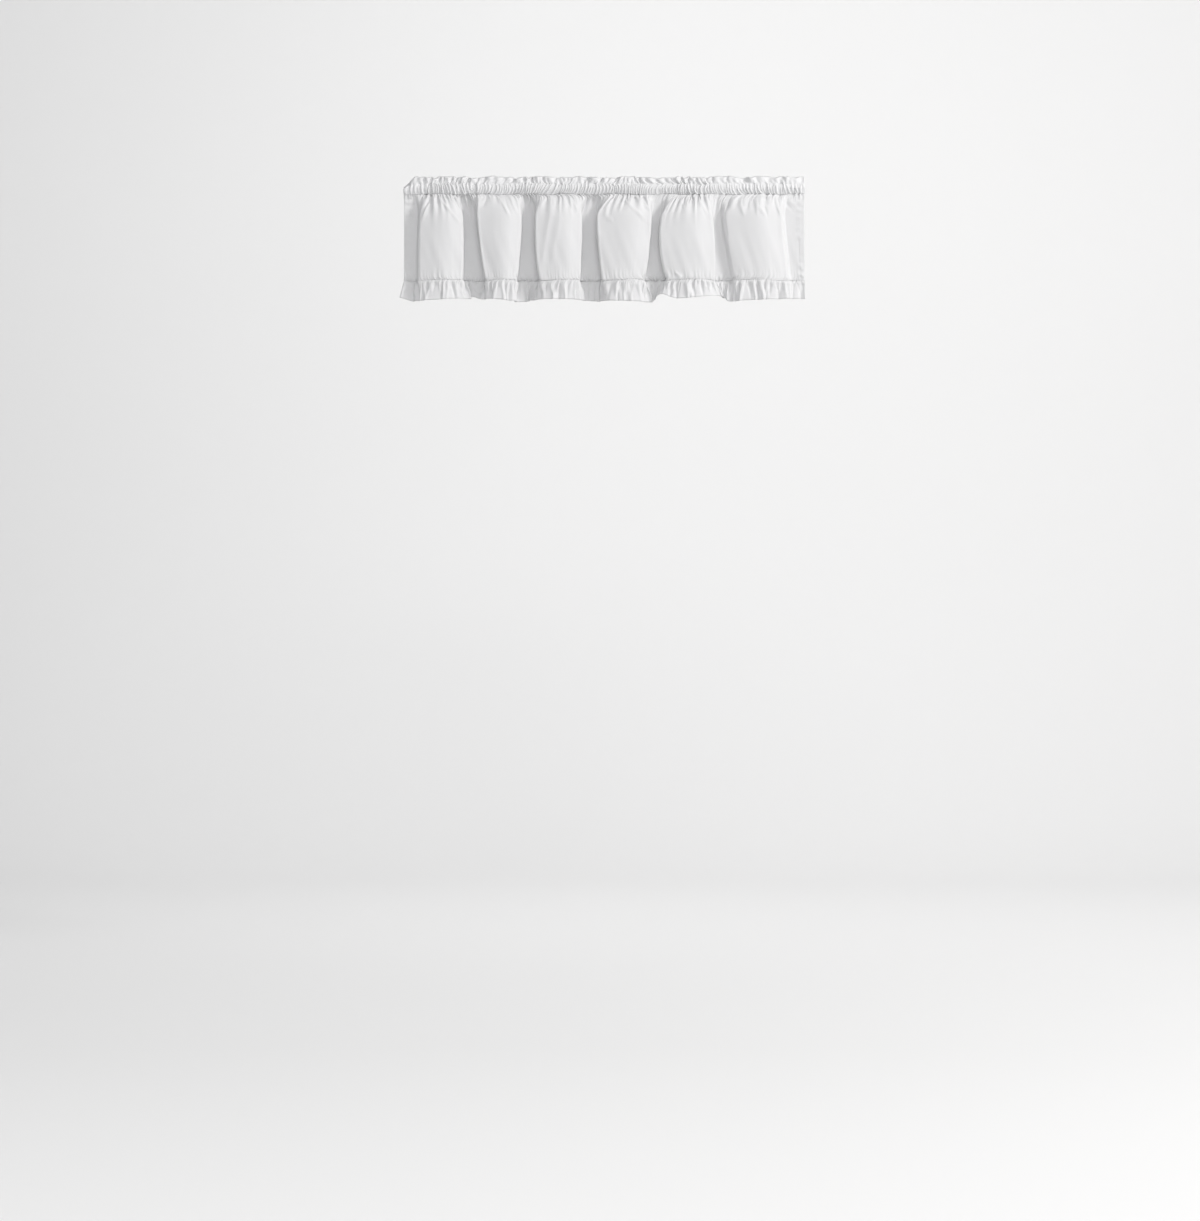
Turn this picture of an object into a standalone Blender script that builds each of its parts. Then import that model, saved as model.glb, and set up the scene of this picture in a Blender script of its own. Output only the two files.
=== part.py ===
"""Ruffled window valance, in the shape in which it hangs on a rod through its pocket.

Three sewn pieces: the heading, which is the folded-over top edge with its frill and rod pocket; the panel, which
falls in six uneven billows with flat recesses between them; and the ruffle, gathered onto the panel's lower edge.

Metres, +Z up. The origin is in the middle of the rod pocket, half way along it. The room is on the -Y side.
"""

import math
from collections import namedtuple

import bmesh
import bpy
from mathutils import Vector

# Across the width
HUNG_WIDTH = 1.062  # along the rod, once gathered
HALF_WIDTH = HUNG_WIDTH / 2

# Heights, up and down from the middle of the pocket
FRILL_TOP = 0.0325
UPPER_STITCH = 0.0145
LOWER_STITCH = -0.0150
PANEL_TOP = -0.0158  # just clear of the heading, whose lower stitching holds the panel
BILLOW_TOP = -0.0180  # the billows start to open here
SHOULDER = -0.062  # where a billow has reached its full depth
WAIST = -0.137
FOOT = -0.229
SEAM = -0.2448  # the ruffle is sewn on here

# Thicknesses and gaps
PANEL_CLOTH = 0.0012
RUFFLE_CLOTH = 0.0012
HEADING_CLOTH = 0.0010
SEAM_GAP = 0.0007  # between the panel's lower edge and the ruffle's upper edge

# Rod pocket
LAYER_OFFSET = 0.0008  # front and back layers at a stitched line, each side of the middle
POCKET_BELLY = 0.0062  # how far each pocket wall stands out round the rod
BELLY_TOP = 0.0112
BELLY_BOTTOM = -0.0112

# Frill and pocket gathers
FRILL_LAYER_OFFSET = 0.0015
FRILL_SWING = 0.0042
FRILL_PITCH = 0.047
FRILL_END_DROP = 0.012  # the frill's free left corner hangs down
FRILL_END_LENGTH = 0.026
POCKET_GATHER = 0.0007
POCKET_GATHER_PITCH = 0.036
HEADING_SECTIONS = 96

# Billows
BROW = 0.012  # how far the rounded front corner runs in from a billow's edge
CROWN = 0.006  # how far the middle of a billow's front stands proud of its corners
SIDE_SPREAD = 0.012  # room that a side takes up along the rod, where it has no depth yet
OPENING_SHAPE = 1.25  # above 1, a billow leaves the stitching softly
EDGE_SHARE = 0.42  # the outermost point of a side, as a share of the way back to the recess
FOOT_DEPTH_SHARE = 0.88  # the ruffle's seam draws the billows in a little

Fold = namedtuple("Fold", "shoulder waist foot neck run proud")
# One row for each billow, left to right. The first five columns hold its left side, then its right. Shoulder, waist
# and foot are where the front's edges lie, neck is how much each draws in at the pocket, and run is how far a side
# travels outwards on its way back to the recess: negative where it tucks in behind the front. Proud is how far the
# front's rounded corners stand out from the rod's centre line.
FOLDS = (
    Fold((-0.490, -0.373), (-0.4925, -0.3710), (-0.494, -0.372), (0.020, 0.018), (0.010, -0.003), 0.024),
    Fold((-0.338, -0.217), (-0.3320, -0.2185), (-0.318, -0.227), (0.003, 0.005), (0.001, -0.003), 0.026),
    Fold((-0.183, -0.058), (-0.1835, -0.0575), (-0.174, -0.062), (0.012, 0.004), (0.002, -0.004), 0.027),
    Fold((-0.021, 0.127), (-0.0185, 0.1235), (-0.009, 0.111), (0.036, 0.015), (0.000, -0.002), 0.029),
    Fold((0.152, 0.287), (0.1445, 0.2935), (0.158, 0.294), (0.024, 0.026), (0.000, -0.003), 0.030),
    Fold((0.314, 0.470), (0.3240, 0.4770), (0.341, 0.487), (0.004, 0.016), (0.009, 0.036), 0.026),
)
RECESS_DEPTHS = (0.006, 0.012, 0.013, 0.013, 0.010, 0.009, 0.002)  # left of each billow, then right of the last

PANEL_HEIGHTS = (PANEL_TOP, BILLOW_TOP, -0.027, -0.042, SHOULDER, -0.100, WAIST, -0.178, -0.212, SEAM + SEAM_GAP / 2)

# Ruffle
RUFFLE_COLUMNS = 144
RUFFLE_PITCH = 0.044  # from one flute to the next, along the seam
RUFFLE_SWING = 0.0040
RUFFLE_ROW_SHARES = (0.0, 0.33, 0.68, 1.0)

Hem = namedtuple("Hem", "x height sway kick")
# The ruffle's lower edge, left to right: where it hangs from on the seam, its height, how far it has swung to the
# right, and how far it stands out.
HEM_LINE = (
    Hem(-0.531, -0.289, -0.011, 0.002),
    Hem(-0.500, -0.300, -0.002, 0.003),
    Hem(-0.372, -0.294, 0.004, 0.004),
    Hem(-0.350, -0.287, 0.000, 0.001),
    Hem(-0.318, -0.294, 0.000, 0.003),
    Hem(-0.228, -0.301, -0.002, 0.004),
    Hem(-0.170, -0.296, -0.003, 0.003),
    Hem(-0.062, -0.297, 0.000, 0.003),
    Hem(0.000, -0.300, 0.000, 0.003),
    Hem(0.111, -0.303, 0.006, 0.004),
    Hem(0.136, -0.296, 0.000, 0.001),
    Hem(0.158, -0.282, -0.010, 0.009),
    Hem(0.200, -0.295, -0.004, 0.006),
    Hem(0.294, -0.287, 0.014, 0.004),
    Hem(0.318, -0.289, 0.000, 0.001),
    Hem(0.341, -0.304, -0.005, 0.004),
    Hem(0.400, -0.298, 0.000, 0.003),
    Hem(0.531, -0.293, 0.000, 0.003),
)

WHITE_CLOTH = (0.86, 0.86, 0.87, 1.0)
CLOTH_ROUGHNESS = 0.85


def mix(a, b, share):
    return a + (b - a) * share


def eased(a, b, share):
    """From a to b with no kink at either end."""
    return mix(a, b, 0.5 - 0.5 * math.cos(math.pi * min(1.0, max(0.0, share))))


def along_stations(stations, z):
    """The value at height z of something that is given at a few heights, top first, as (height, value)."""
    for (upper, above), (lower, below) in zip(stations, stations[1:]):
        if z >= lower:
            return eased(above, below, (upper - z) / (upper - lower))
    return stations[-1][1]


def uneven_wave(x, pitch):
    """A wave between about -1 and 1 whose crests are neither level nor evenly spaced."""
    turns = 2 * math.pi * x / pitch
    return 0.72 * math.sin(turns + 0.9 * math.sin(0.31 * turns)) + 0.28 * math.sin(0.57 * turns + 1.3)


def rounded(points):
    """The line through points with each corner cut off."""
    cut = [points[0]]
    for a, b in zip(points, points[1:]):
        cut += [a.lerp(b, 0.25), a.lerp(b, 0.75)]
    return cut + [points[-1]]


def billow_depth(z):
    """How far the billows have opened at height z, from 0 at the pocket to 1 at their fullest."""
    if z >= BILLOW_TOP:
        return 0.0
    if z > SHOULDER:
        return math.sin(0.5 * math.pi * (BILLOW_TOP - z) / (BILLOW_TOP - SHOULDER)) ** OPENING_SHAPE
    return along_stations(((SHOULDER, 1.0), (WAIST, 1.0), (SEAM, FOOT_DEPTH_SHARE)), z)


def billow_edges(fold, z):
    """The left and right edges of a billow's front at height z."""
    drawn_in = 1 - math.sin(0.5 * math.pi * (LOWER_STITCH - max(z, SHOULDER)) / (LOWER_STITCH - SHOULDER))
    edges = []
    for shoulder, waist, foot, neck in zip(fold.shoulder, fold.waist, fold.foot, (fold.neck[0], -fold.neck[1])):
        edge = along_stations(((SHOULDER, shoulder), (WAIST, waist), (FOOT, foot)), min(z, SHOULDER))
        edges.append(edge + neck * drawn_in)
    return edges


def billow_outline(fold, z, depth_left, depth_right):
    """The seven corners of one billow at height z, from its left root over the crown to its right root."""
    depth = billow_depth(z)
    left, right = billow_edges(fold, z)
    flat = -LAYER_OFFSET
    front = mix(flat, -fold.proud, depth)
    crown = front - CROWN * depth
    back_left = mix(flat, depth_left, depth)
    back_right = mix(flat, depth_right, depth)
    left_run = mix(SIDE_SPREAD, fold.run[0], depth)
    right_run = mix(SIDE_SPREAD, fold.run[1], depth)
    return [
        Vector((left - left_run, back_left, z)),
        Vector((left, mix(front, back_left, EDGE_SHARE), z)),
        Vector((left + BROW, front, z)),
        Vector(((left + right) / 2, crown, z)),
        Vector((right - BROW, front, z)),
        Vector((right, mix(front, back_right, EDGE_SHARE), z)),
        Vector((right + right_run, back_right, z)),
    ]


def panel_line(z):
    """The panel's line across its width at height z."""
    depth = billow_depth(z)
    flat = -LAYER_OFFSET
    corners = [Vector((-HALF_WIDTH, mix(flat, RECESS_DEPTHS[0], depth), z))]
    for fold, depth_left, depth_right in zip(FOLDS, RECESS_DEPTHS, RECESS_DEPTHS[1:]):
        corners += billow_outline(fold, z, depth_left, depth_right)
    corners.append(Vector((HALF_WIDTH, mix(flat, RECESS_DEPTHS[-1], depth), z)))
    return rounded(corners)


def spaced_along(line, count):
    """count + 1 points evenly spaced along a line, each with the line's direction there."""
    lengths = [0.0]
    for a, b in zip(line, line[1:]):
        lengths.append(lengths[-1] + (b - a).length)
    found = []
    span = 0
    for i in range(count + 1):
        at = lengths[-1] * i / count
        while span < len(line) - 2 and lengths[span + 1] < at:
            span += 1
        share = (at - lengths[span]) / (lengths[span + 1] - lengths[span])
        step = line[span + 1] - line[span]
        found.append((line[span].lerp(line[span + 1], share), step.normalized()))
    return found


def hem_at(x):
    """The row of the hem's table that would stand at x."""
    x = min(max(x, HEM_LINE[0].x), HEM_LINE[-1].x)
    for a, b in zip(HEM_LINE, HEM_LINE[1:]):
        if x <= b.x:
            return Hem(*(eased(start, end, (x - a.x) / (b.x - a.x)) for start, end in zip(a, b)))
    return HEM_LINE[-1]


def ruffle_rows():
    """The ruffle's lines from its seam to its hem. It flutes more the lower it hangs."""
    seam = spaced_along(panel_line(SEAM), RUFFLE_COLUMNS)
    step = (seam[1][0] - seam[0][0]).length
    rows = []
    for share in RUFFLE_ROW_SHARES:
        row = []
        for i, (point, direction) in enumerate(seam):
            hem = hem_at(point.x)
            outward = Vector((direction.y, -direction.x, 0))
            place = point + outward * share * (RUFFLE_SWING * uneven_wave(i * step, RUFFLE_PITCH) + hem.kick)
            place.x += hem.sway * share
            place.z = mix(SEAM - SEAM_GAP / 2, hem.height, share)
            row.append(place)
        rows.append(row)
    return rows


def heading_rows():
    """The heading's lines along the rod, from the front layer's lower edge over the frill to the back layer's."""
    front = (
        # out from the middle, height, share of the pocket gathers, share of the frill's swing
        (LAYER_OFFSET, LOWER_STITCH, 0.0, 0.0),
        (POCKET_BELLY, BELLY_BOTTOM, 1.0, 0.0),
        (POCKET_BELLY, BELLY_TOP, 1.0, 0.0),
        (LAYER_OFFSET, UPPER_STITCH, 0.0, 0.0),
        (FRILL_LAYER_OFFSET, FRILL_TOP, 0.0, 1.0),
    )
    stations = [(-1, *row) for row in front] + [(1, *row) for row in reversed(front)]
    rows = []
    for side, out, height, gather_share, swing_share in stations:
        row = []
        for i in range(HEADING_SECTIONS + 1):
            x = mix(-HALF_WIDTH, HALF_WIDTH, i / HEADING_SECTIONS)
            gather = gather_share * POCKET_GATHER * uneven_wave(x, POCKET_GATHER_PITCH)
            swing = swing_share * FRILL_SWING * uneven_wave(x, FRILL_PITCH)
            end_share = max(0.0, 1 - (x + HALF_WIDTH) / FRILL_END_LENGTH)
            drop = swing_share * FRILL_END_DROP * end_share**2
            row.append(Vector((x, side * (out + gather) + swing, height - drop)))
        rows.append(row)
    return rows


def cloth_material(name):
    material = bpy.data.materials.new(name)
    material.use_nodes = True
    shader = material.node_tree.nodes["Principled BSDF"]
    shader.inputs["Base Color"].default_value = WHITE_CLOTH
    shader.inputs["Roughness"].default_value = CLOTH_ROUGHNESS
    shader.inputs["Metallic"].default_value = 0.0
    return material


def cloth_sheet(name, rows, thickness, collection):
    """A sheet of cloth through rows of points, each row running left to right."""
    form = bmesh.new()
    bmesh.ops.create_grid(form, x_segments=len(rows[0]) - 1, y_segments=len(rows) - 1, size=1)
    places = [point for row in rows for point in row]
    for vertex, place in zip(form.verts, places):
        vertex.co = place
    mesh = bpy.data.meshes.new(name)
    form.to_mesh(mesh)
    form.free()
    mesh.shade_smooth()
    mesh.materials.append(cloth_material(f"{name}_cloth"))
    sheet = bpy.data.objects.new(name, mesh)
    collection.objects.link(sheet)
    solidify = sheet.modifiers.new("Thickness", "SOLIDIFY")
    solidify.thickness = thickness
    solidify.offset = 0.0
    return sheet


def main():
    for old in list(bpy.data.objects):
        bpy.data.objects.remove(old)
    collection = bpy.data.collections.new("Window valance")
    bpy.context.scene.collection.children.link(collection)
    cloth_sheet("heading", heading_rows(), HEADING_CLOTH, collection)
    cloth_sheet("panel", [panel_line(z) for z in PANEL_HEIGHTS], PANEL_CLOTH, collection)
    cloth_sheet("ruffle", ruffle_rows(), RUFFLE_CLOTH, collection)


main()
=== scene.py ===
"""Looks of the ruffled window valance: gathered cloth, hems, stitching and finishes.

Each sheet is laid out as a grid of points in the shape in which it hangs, with its gathers started along
every line of stitching. The grid is then settled as cloth: its threads keep their flat length, the stitched
lines stay where they are sewn, and the fullness in between finds its own creases. Metres, +Z up, the room on
the -Y side.
"""

import logging
import math
from dataclasses import dataclass, replace
from enum import Enum
from typing import Any, Callable, Iterable, NamedTuple, Sequence, Union

import bpy
import numpy as np
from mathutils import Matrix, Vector


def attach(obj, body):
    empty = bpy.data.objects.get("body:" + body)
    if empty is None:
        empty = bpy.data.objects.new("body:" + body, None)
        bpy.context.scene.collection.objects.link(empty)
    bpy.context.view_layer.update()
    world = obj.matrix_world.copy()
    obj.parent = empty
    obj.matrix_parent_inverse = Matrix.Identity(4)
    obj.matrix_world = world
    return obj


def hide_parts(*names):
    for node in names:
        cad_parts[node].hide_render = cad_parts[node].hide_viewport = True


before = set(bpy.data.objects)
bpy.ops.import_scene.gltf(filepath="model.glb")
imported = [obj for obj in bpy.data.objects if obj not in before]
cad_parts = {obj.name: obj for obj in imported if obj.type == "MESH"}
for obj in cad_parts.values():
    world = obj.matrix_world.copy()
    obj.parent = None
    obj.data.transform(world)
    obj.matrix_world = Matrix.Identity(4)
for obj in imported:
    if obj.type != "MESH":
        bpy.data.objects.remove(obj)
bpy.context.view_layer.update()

LOG = logging.getLogger("valance")
Pair = tuple[float, float]
Place = tuple[float, float, float]
Amount = Union[float, np.ndarray]
Term = Union["Socket", float]
ROOT = "root"
FRONT: Place = (0.0, -1.0, 0.0)
BACK: Place = (0.0, 1.0, 0.0)
TINY = 1e-12  # keeps two points in one place from giving a division by zero
TINY_SINGLE = np.float32(1e-9)


# ---------------------------------------------------------------- shader helpers


class Socket:
    """A node's output, so that shader maths reads as Python expressions."""

    def __init__(self, board: "Board", link: Union[bpy.types.NodeSocket, None]) -> None:
        """Keep the board that new nodes go on, and the output socket that this stands for."""
        self.board = board
        self.link = link

    def _maths(self, operation: str, *operands: Term) -> "Socket":
        """Add one Math node."""
        return self.board.node("ShaderNodeMath", {"operation": operation}, dict(enumerate(operands)))

    def __add__(self, other: Term) -> "Socket":
        """Sum."""
        return self._maths("ADD", self, other)

    def __sub__(self, other: Term) -> "Socket":
        """Difference."""
        return self._maths("SUBTRACT", self, other)

    def __mul__(self, other: Term) -> "Socket":
        """Product."""
        return self._maths("MULTIPLY", self, other)

    def __radd__(self, other: Term) -> "Socket":
        """Sum with a number on the left."""
        return self._maths("ADD", other, self)

    def __rsub__(self, other: Term) -> "Socket":
        """Difference from a number on the left."""
        return self._maths("SUBTRACT", other, self)

    def __rmul__(self, other: Term) -> "Socket":
        """Product with a number on the left."""
        return self._maths("MULTIPLY", other, self)

    def sine(self) -> "Socket":
        """Sine, in radians."""
        return self._maths("SINE", self)


class Board:
    """The node tree of one material."""

    def __init__(self, name: str) -> None:
        """Start an empty material.

        Args:
            name: the material's name.
        """
        self.material = bpy.data.materials.new(name)
        self.material.use_nodes = True
        self.tree = self.material.node_tree
        self.tree.nodes.clear()

    def node(
        self,
        kind: str,
        settings: dict[str, Any],
        inputs: dict[Union[str, int], Any],
        output: Union[str, int] = 0,
    ) -> Socket:
        """Add a node.

        Args:
            kind: the node's type.
            settings: its attributes, set before its sockets.
            inputs: values or links for its sockets, by name or number.
            output: name or number of the output that is handed back.

        Returns:
            The chosen output.
        """
        made = self.tree.nodes.new(kind)
        for key, value in settings.items():
            setattr(made, key, value)
        for key, value in inputs.items():
            socket = made.inputs[key]
            if isinstance(value, Socket):
                self.tree.links.new(value.link, socket)
            else:
                socket.default_value = value
        return Socket(self, made.outputs[output] if made.outputs else None)

    def finish(self, shader: Socket) -> bpy.types.Material:
        """Wire the last shader to the output and hand back the material."""
        self.node("ShaderNodeOutputMaterial", {}, {"Surface": shader})
        return self.material


# ---------------------------------------------------------------- finishes


def blended(board: Board, share: Socket, dark: Place, light: Place) -> Socket:
    """Mix two tones of a finish.

    Args:
        board: the node tree that the mix goes on.
        share: how much of the light tone there is, over the surface.
        dark: the one tone.
        light: the other.

    Returns:
        The mixed colour.
    """
    factor, first, second, result = 0, 6, 7, 2
    tones = {factor: share, first: (*dark, 1.0), second: (*light, 1.0)}
    return board.node("ShaderNodeMix", {"data_type": "RGBA"}, tones, result)


class Noise(NamedTuple):
    """An uneven pattern on the flat cloth."""

    scale: float  # patches to a metre
    detail: float
    roughness: float

    def on(self, board: Board, place: Socket) -> Socket:
        """Add the pattern, at a place on the cloth."""
        inputs = {"Vector": place, "Scale": self.scale, "Detail": self.detail, "Roughness": self.roughness}
        return board.node("ShaderNodeTexNoise", {"noise_dimensions": "2D"}, inputs)


@dataclass(frozen=True)
class ClothFinish:
    """White plain-weave cotton blend, pressed crisp, with thread-scale relief and faint unevenness."""

    name: str
    light: Place = (0.805, 0.805, 0.812)
    shade: Place = (0.770, 0.770, 0.778)
    passing: Place = (0.86, 0.86, 0.86)  # tint of the light that passes through the cloth
    see_through: float = 0.32  # share of the light that does
    roughness: float = 0.82
    roughness_spread: float = 0.12
    specular: float = 0.25
    sheen: float = 0.12
    sheen_roughness: float = 0.5
    drift: Noise = Noise(90.0, 2.0, 0.5)  # how the threads run out of true
    slub: Noise = Noise(260.0, 4.0, 0.6)  # thicker places in the threads
    cloud: Noise = Noise(14.0, 3.0, 0.55)  # broad unevenness of the tone
    cloud_share: float = 0.7
    weave_share: float = 0.1
    slub_share: float = 0.3
    thread_pitch: float = 0.0007  # over and under, along the weft and the warp
    weft_drift: float = 9.0  # radians
    warp_drift: float = 7.0
    thread_relief: float = 0.00006
    slub_relief: float = 0.00025
    relief_strength: float = 0.6
    doubled_and_painted_light_tone: float = 1.04  # of cloth that lies double, against a single layer's: partly the whiter look of two layers, partly painted light that lifts the shade in the heading's deep gathers
    doubled_passing: float = 0.75

    def doubled(self) -> "ClothFinish":
        """Make the finish of the same cloth where it lies double.

        Returns:
            A paler finish: partly because less light passes through two layers, partly painted light that
                lifts the shade in the heading's deep gathers.
        """
        tones = (self.light, self.shade)
        light, shade = (tuple(min(1.0, part * self.doubled_and_painted_light_tone) for part in tone) for tone in tones)
        return replace(self, light=light, shade=shade, see_through=self.see_through * self.doubled_passing)

    def material(self) -> bpy.types.Material:
        """Build the finish.

        Returns:
            A material that reads the flat cloth's own coordinates, in metres, from its UV map.
        """
        board = Board(self.name)
        place = board.node("ShaderNodeTexCoord", {}, {}, "UV")
        across = board.node("ShaderNodeSeparateXYZ", {}, {0: place})
        along = Socket(board, across.link.node.outputs[1])
        turns = 2 * math.pi / self.thread_pitch
        drift = self.drift.on(board, place)
        weft = (across * turns + drift * self.weft_drift).sine()
        weave = weft * (along * turns + drift * self.warp_drift).sine()
        slub = self.slub.on(board, place)
        cloud = self.cloud.on(board, place)
        share = cloud * self.cloud_share + weave * self.weave_share + slub * self.slub_share
        relief = weave * self.thread_relief + slub * self.slub_relief
        bump = {"Strength": self.relief_strength, "Distance": 1.0, "Height": relief}
        cloth = board.node(
            "ShaderNodeBsdfPrincipled",
            {},
            {
                "Base Color": blended(board, share, self.shade, self.light),
                "Roughness": self.roughness + (slub - 0.5) * self.roughness_spread,
                "Specular IOR Level": self.specular,
                "Sheen Weight": self.sheen,
                "Sheen Roughness": self.sheen_roughness,
                "Normal": board.node("ShaderNodeBump", {}, bump),
            },
        )
        passing = board.node("ShaderNodeBsdfTranslucent", {}, {"Color": (*self.passing, 1.0)})
        shaders = {0: self.see_through, 1: cloth, 2: passing}
        return board.finish(board.node("ShaderNodeMixShader", {}, shaders))


@dataclass(frozen=True)
class ThreadFinish:
    """Twisted white sewing thread."""

    name: str
    colour: Place = (0.84, 0.84, 0.848)
    twist_painted_shade: float = 0.90  # painted shade in the grooves of the twist, as a share of the colour
    twist_scale: float = 900.0
    twist_waver: float = 0.5
    relief: float = 0.0001
    relief_strength: float = 0.4
    roughness: float = 0.6

    def material(self) -> bpy.types.Material:
        """Build the finish, with the twist as fine slanting bands.

        Returns:
            A material that needs no UV map.
        """
        board = Board(self.name)
        place = board.node("ShaderNodeTexCoord", {}, {}, "Object")
        twist = board.node(
            "ShaderNodeTexWave",
            {"wave_type": "BANDS", "bands_direction": "DIAGONAL"},
            {"Vector": place, "Scale": self.twist_scale, "Distortion": self.twist_waver},
            1,
        )
        # the twist's darker bands are painted shade in its grooves, laid over its bump
        painted_twist_shade = tuple(self.twist_painted_shade * part for part in self.colour)
        tone = blended(board, twist, painted_twist_shade, self.colour)
        bump = {"Strength": self.relief_strength, "Distance": self.relief, "Height": twist}
        normal = board.node("ShaderNodeBump", {}, bump)
        thread = {"Base Color": tone, "Roughness": self.roughness, "Normal": normal}
        return board.finish(board.node("ShaderNodeBsdfPrincipled", {}, thread))


# ---------------------------------------------------------------- the valance's sizes


@dataclass(frozen=True)
class Sizes:
    """Sizes that the pieces share. Width and heights are the solids', unless a comment says otherwise."""

    width: float = 1.062  # along the rod
    frill_top: float = 0.0345  # before it leans back, 2 mm higher than in the solids
    upper_stitch: float = 0.0122  # 2.3 mm lower than in the solids, for a taller frill
    lower_stitch: float = -0.0150
    shoulder: float = -0.062
    waist: float = -0.137
    foot: float = -0.229
    seam: float = -0.2448
    cloth: float = 0.0004  # thickness of one layer
    ply: float = 0.0006  # from the middle of one layer to the next, where two are stitched together

    @property
    def half(self) -> float:
        """Half the width along the rod."""
        return self.width / 2


SIZES = Sizes()
HEM_LAYERS = 3
SINGLE_FACE = SIZES.cloth / 2  # from the middle of the cloth to its face
HEM_FACE = HEM_LAYERS / 2 * SIZES.cloth


class Fold(NamedTuple):
    """One billow of the panel. A pair holds its left side, then its right."""

    shoulder: Pair  # x of its edges at three heights
    waist: Pair
    foot: Pair
    neck: Pair  # how far it narrows at the stitching
    run: Pair  # from its edge to the recess beside it, less than nothing where it overhangs
    brow: Pair  # from its edge to its front
    proud: float  # how far its front stands out
    rim: float  # how far the rolled left edge stands up


RIM = 0.0024
FOLDS = (
    Fold(
        shoulder=(-0.489, -0.373), waist=(-0.4925, -0.371), foot=(-0.494, -0.372), neck=(0.022, 0.02),
        run=(0.003, -0.004), brow=(0.005, 0.005), proud=0.024, rim=0.0,
    ),
    Fold(
        shoulder=(-0.338, -0.217), waist=(-0.332, -0.2185), foot=(-0.318, -0.227), neck=(0.004, 0.007),
        run=(-0.003, -0.004), brow=(0.003, 0.005), proud=0.026, rim=RIM,
    ),
    Fold(
        shoulder=(-0.183, -0.058), waist=(-0.1835, -0.0575), foot=(-0.174, -0.062), neck=(0.016, 0.008),
        run=(-0.003, -0.004), brow=(0.003, 0.004), proud=0.027, rim=RIM,
    ),
    Fold(
        shoulder=(-0.021, 0.127), waist=(-0.0185, 0.1235), foot=(-0.009, 0.111), neck=(0.038, 0.02),
        run=(-0.003, -0.004), brow=(0.003, 0.005), proud=0.029, rim=RIM,
    ),
    Fold(
        shoulder=(0.152, 0.287), waist=(0.1445, 0.2935), foot=(0.158, 0.294), neck=(0.026, 0.026),
        run=(-0.003, -0.004), brow=(0.003, 0.005), proud=0.03, rim=RIM,
    ),
    Fold(
        shoulder=(0.314, 0.47), waist=(0.324, 0.477), foot=(0.341, 0.487), neck=(0.02, 0.006),
        run=(0.006, 0.006), brow=(0.01, 0.014), proud=0.023, rim=0.0,
    ),
)
CORNERS_A_FOLD = 11  # of the panel's line
EDGE_CORNERS = (3, 9)  # those at a billow's left and right edge
RECESS_DEPTHS = (0.006, 0.012, 0.012, 0.012, 0.002, -0.001, -0.003)  # y, from left to right


class Hem(NamedTuple):
    """Where the ruffle's lower edge hangs: x on the seam, height, sway to the right and kick to the front."""

    x: float
    height: float
    sway: float
    kick: float


HEM_LINE = (
    Hem(-0.531, -0.289, -0.011, 0.002),
    Hem(-0.500, -0.300, -0.002, 0.003),
    Hem(-0.372, -0.294, 0.004, 0.004),
    Hem(-0.350, -0.287, 0.000, 0.001),
    Hem(-0.318, -0.294, 0.000, 0.003),
    Hem(-0.228, -0.301, -0.002, 0.004),
    Hem(-0.170, -0.296, -0.003, 0.003),
    Hem(-0.062, -0.297, 0.000, 0.003),
    Hem(0.000, -0.300, 0.000, 0.003),
    Hem(0.111, -0.303, 0.006, 0.004),
    Hem(0.136, -0.296, 0.000, 0.001),
    Hem(0.158, -0.282, -0.010, 0.009),
    Hem(0.200, -0.295, -0.004, 0.006),
    Hem(0.294, -0.287, 0.010, 0.006),
    Hem(0.318, -0.291, 0.002, 0.001),
    Hem(0.341, -0.301, -0.003, 0.004),
    Hem(0.400, -0.298, 0.000, 0.003),
    Hem(0.531, -0.293, 0.000, 0.003),
)


class Crease(NamedTuple):
    """A ridge on a billow's front, or a trough where its height is below zero, along a path of (x, z)."""

    height: float
    width: float
    path: tuple[Pair, ...]


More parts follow.
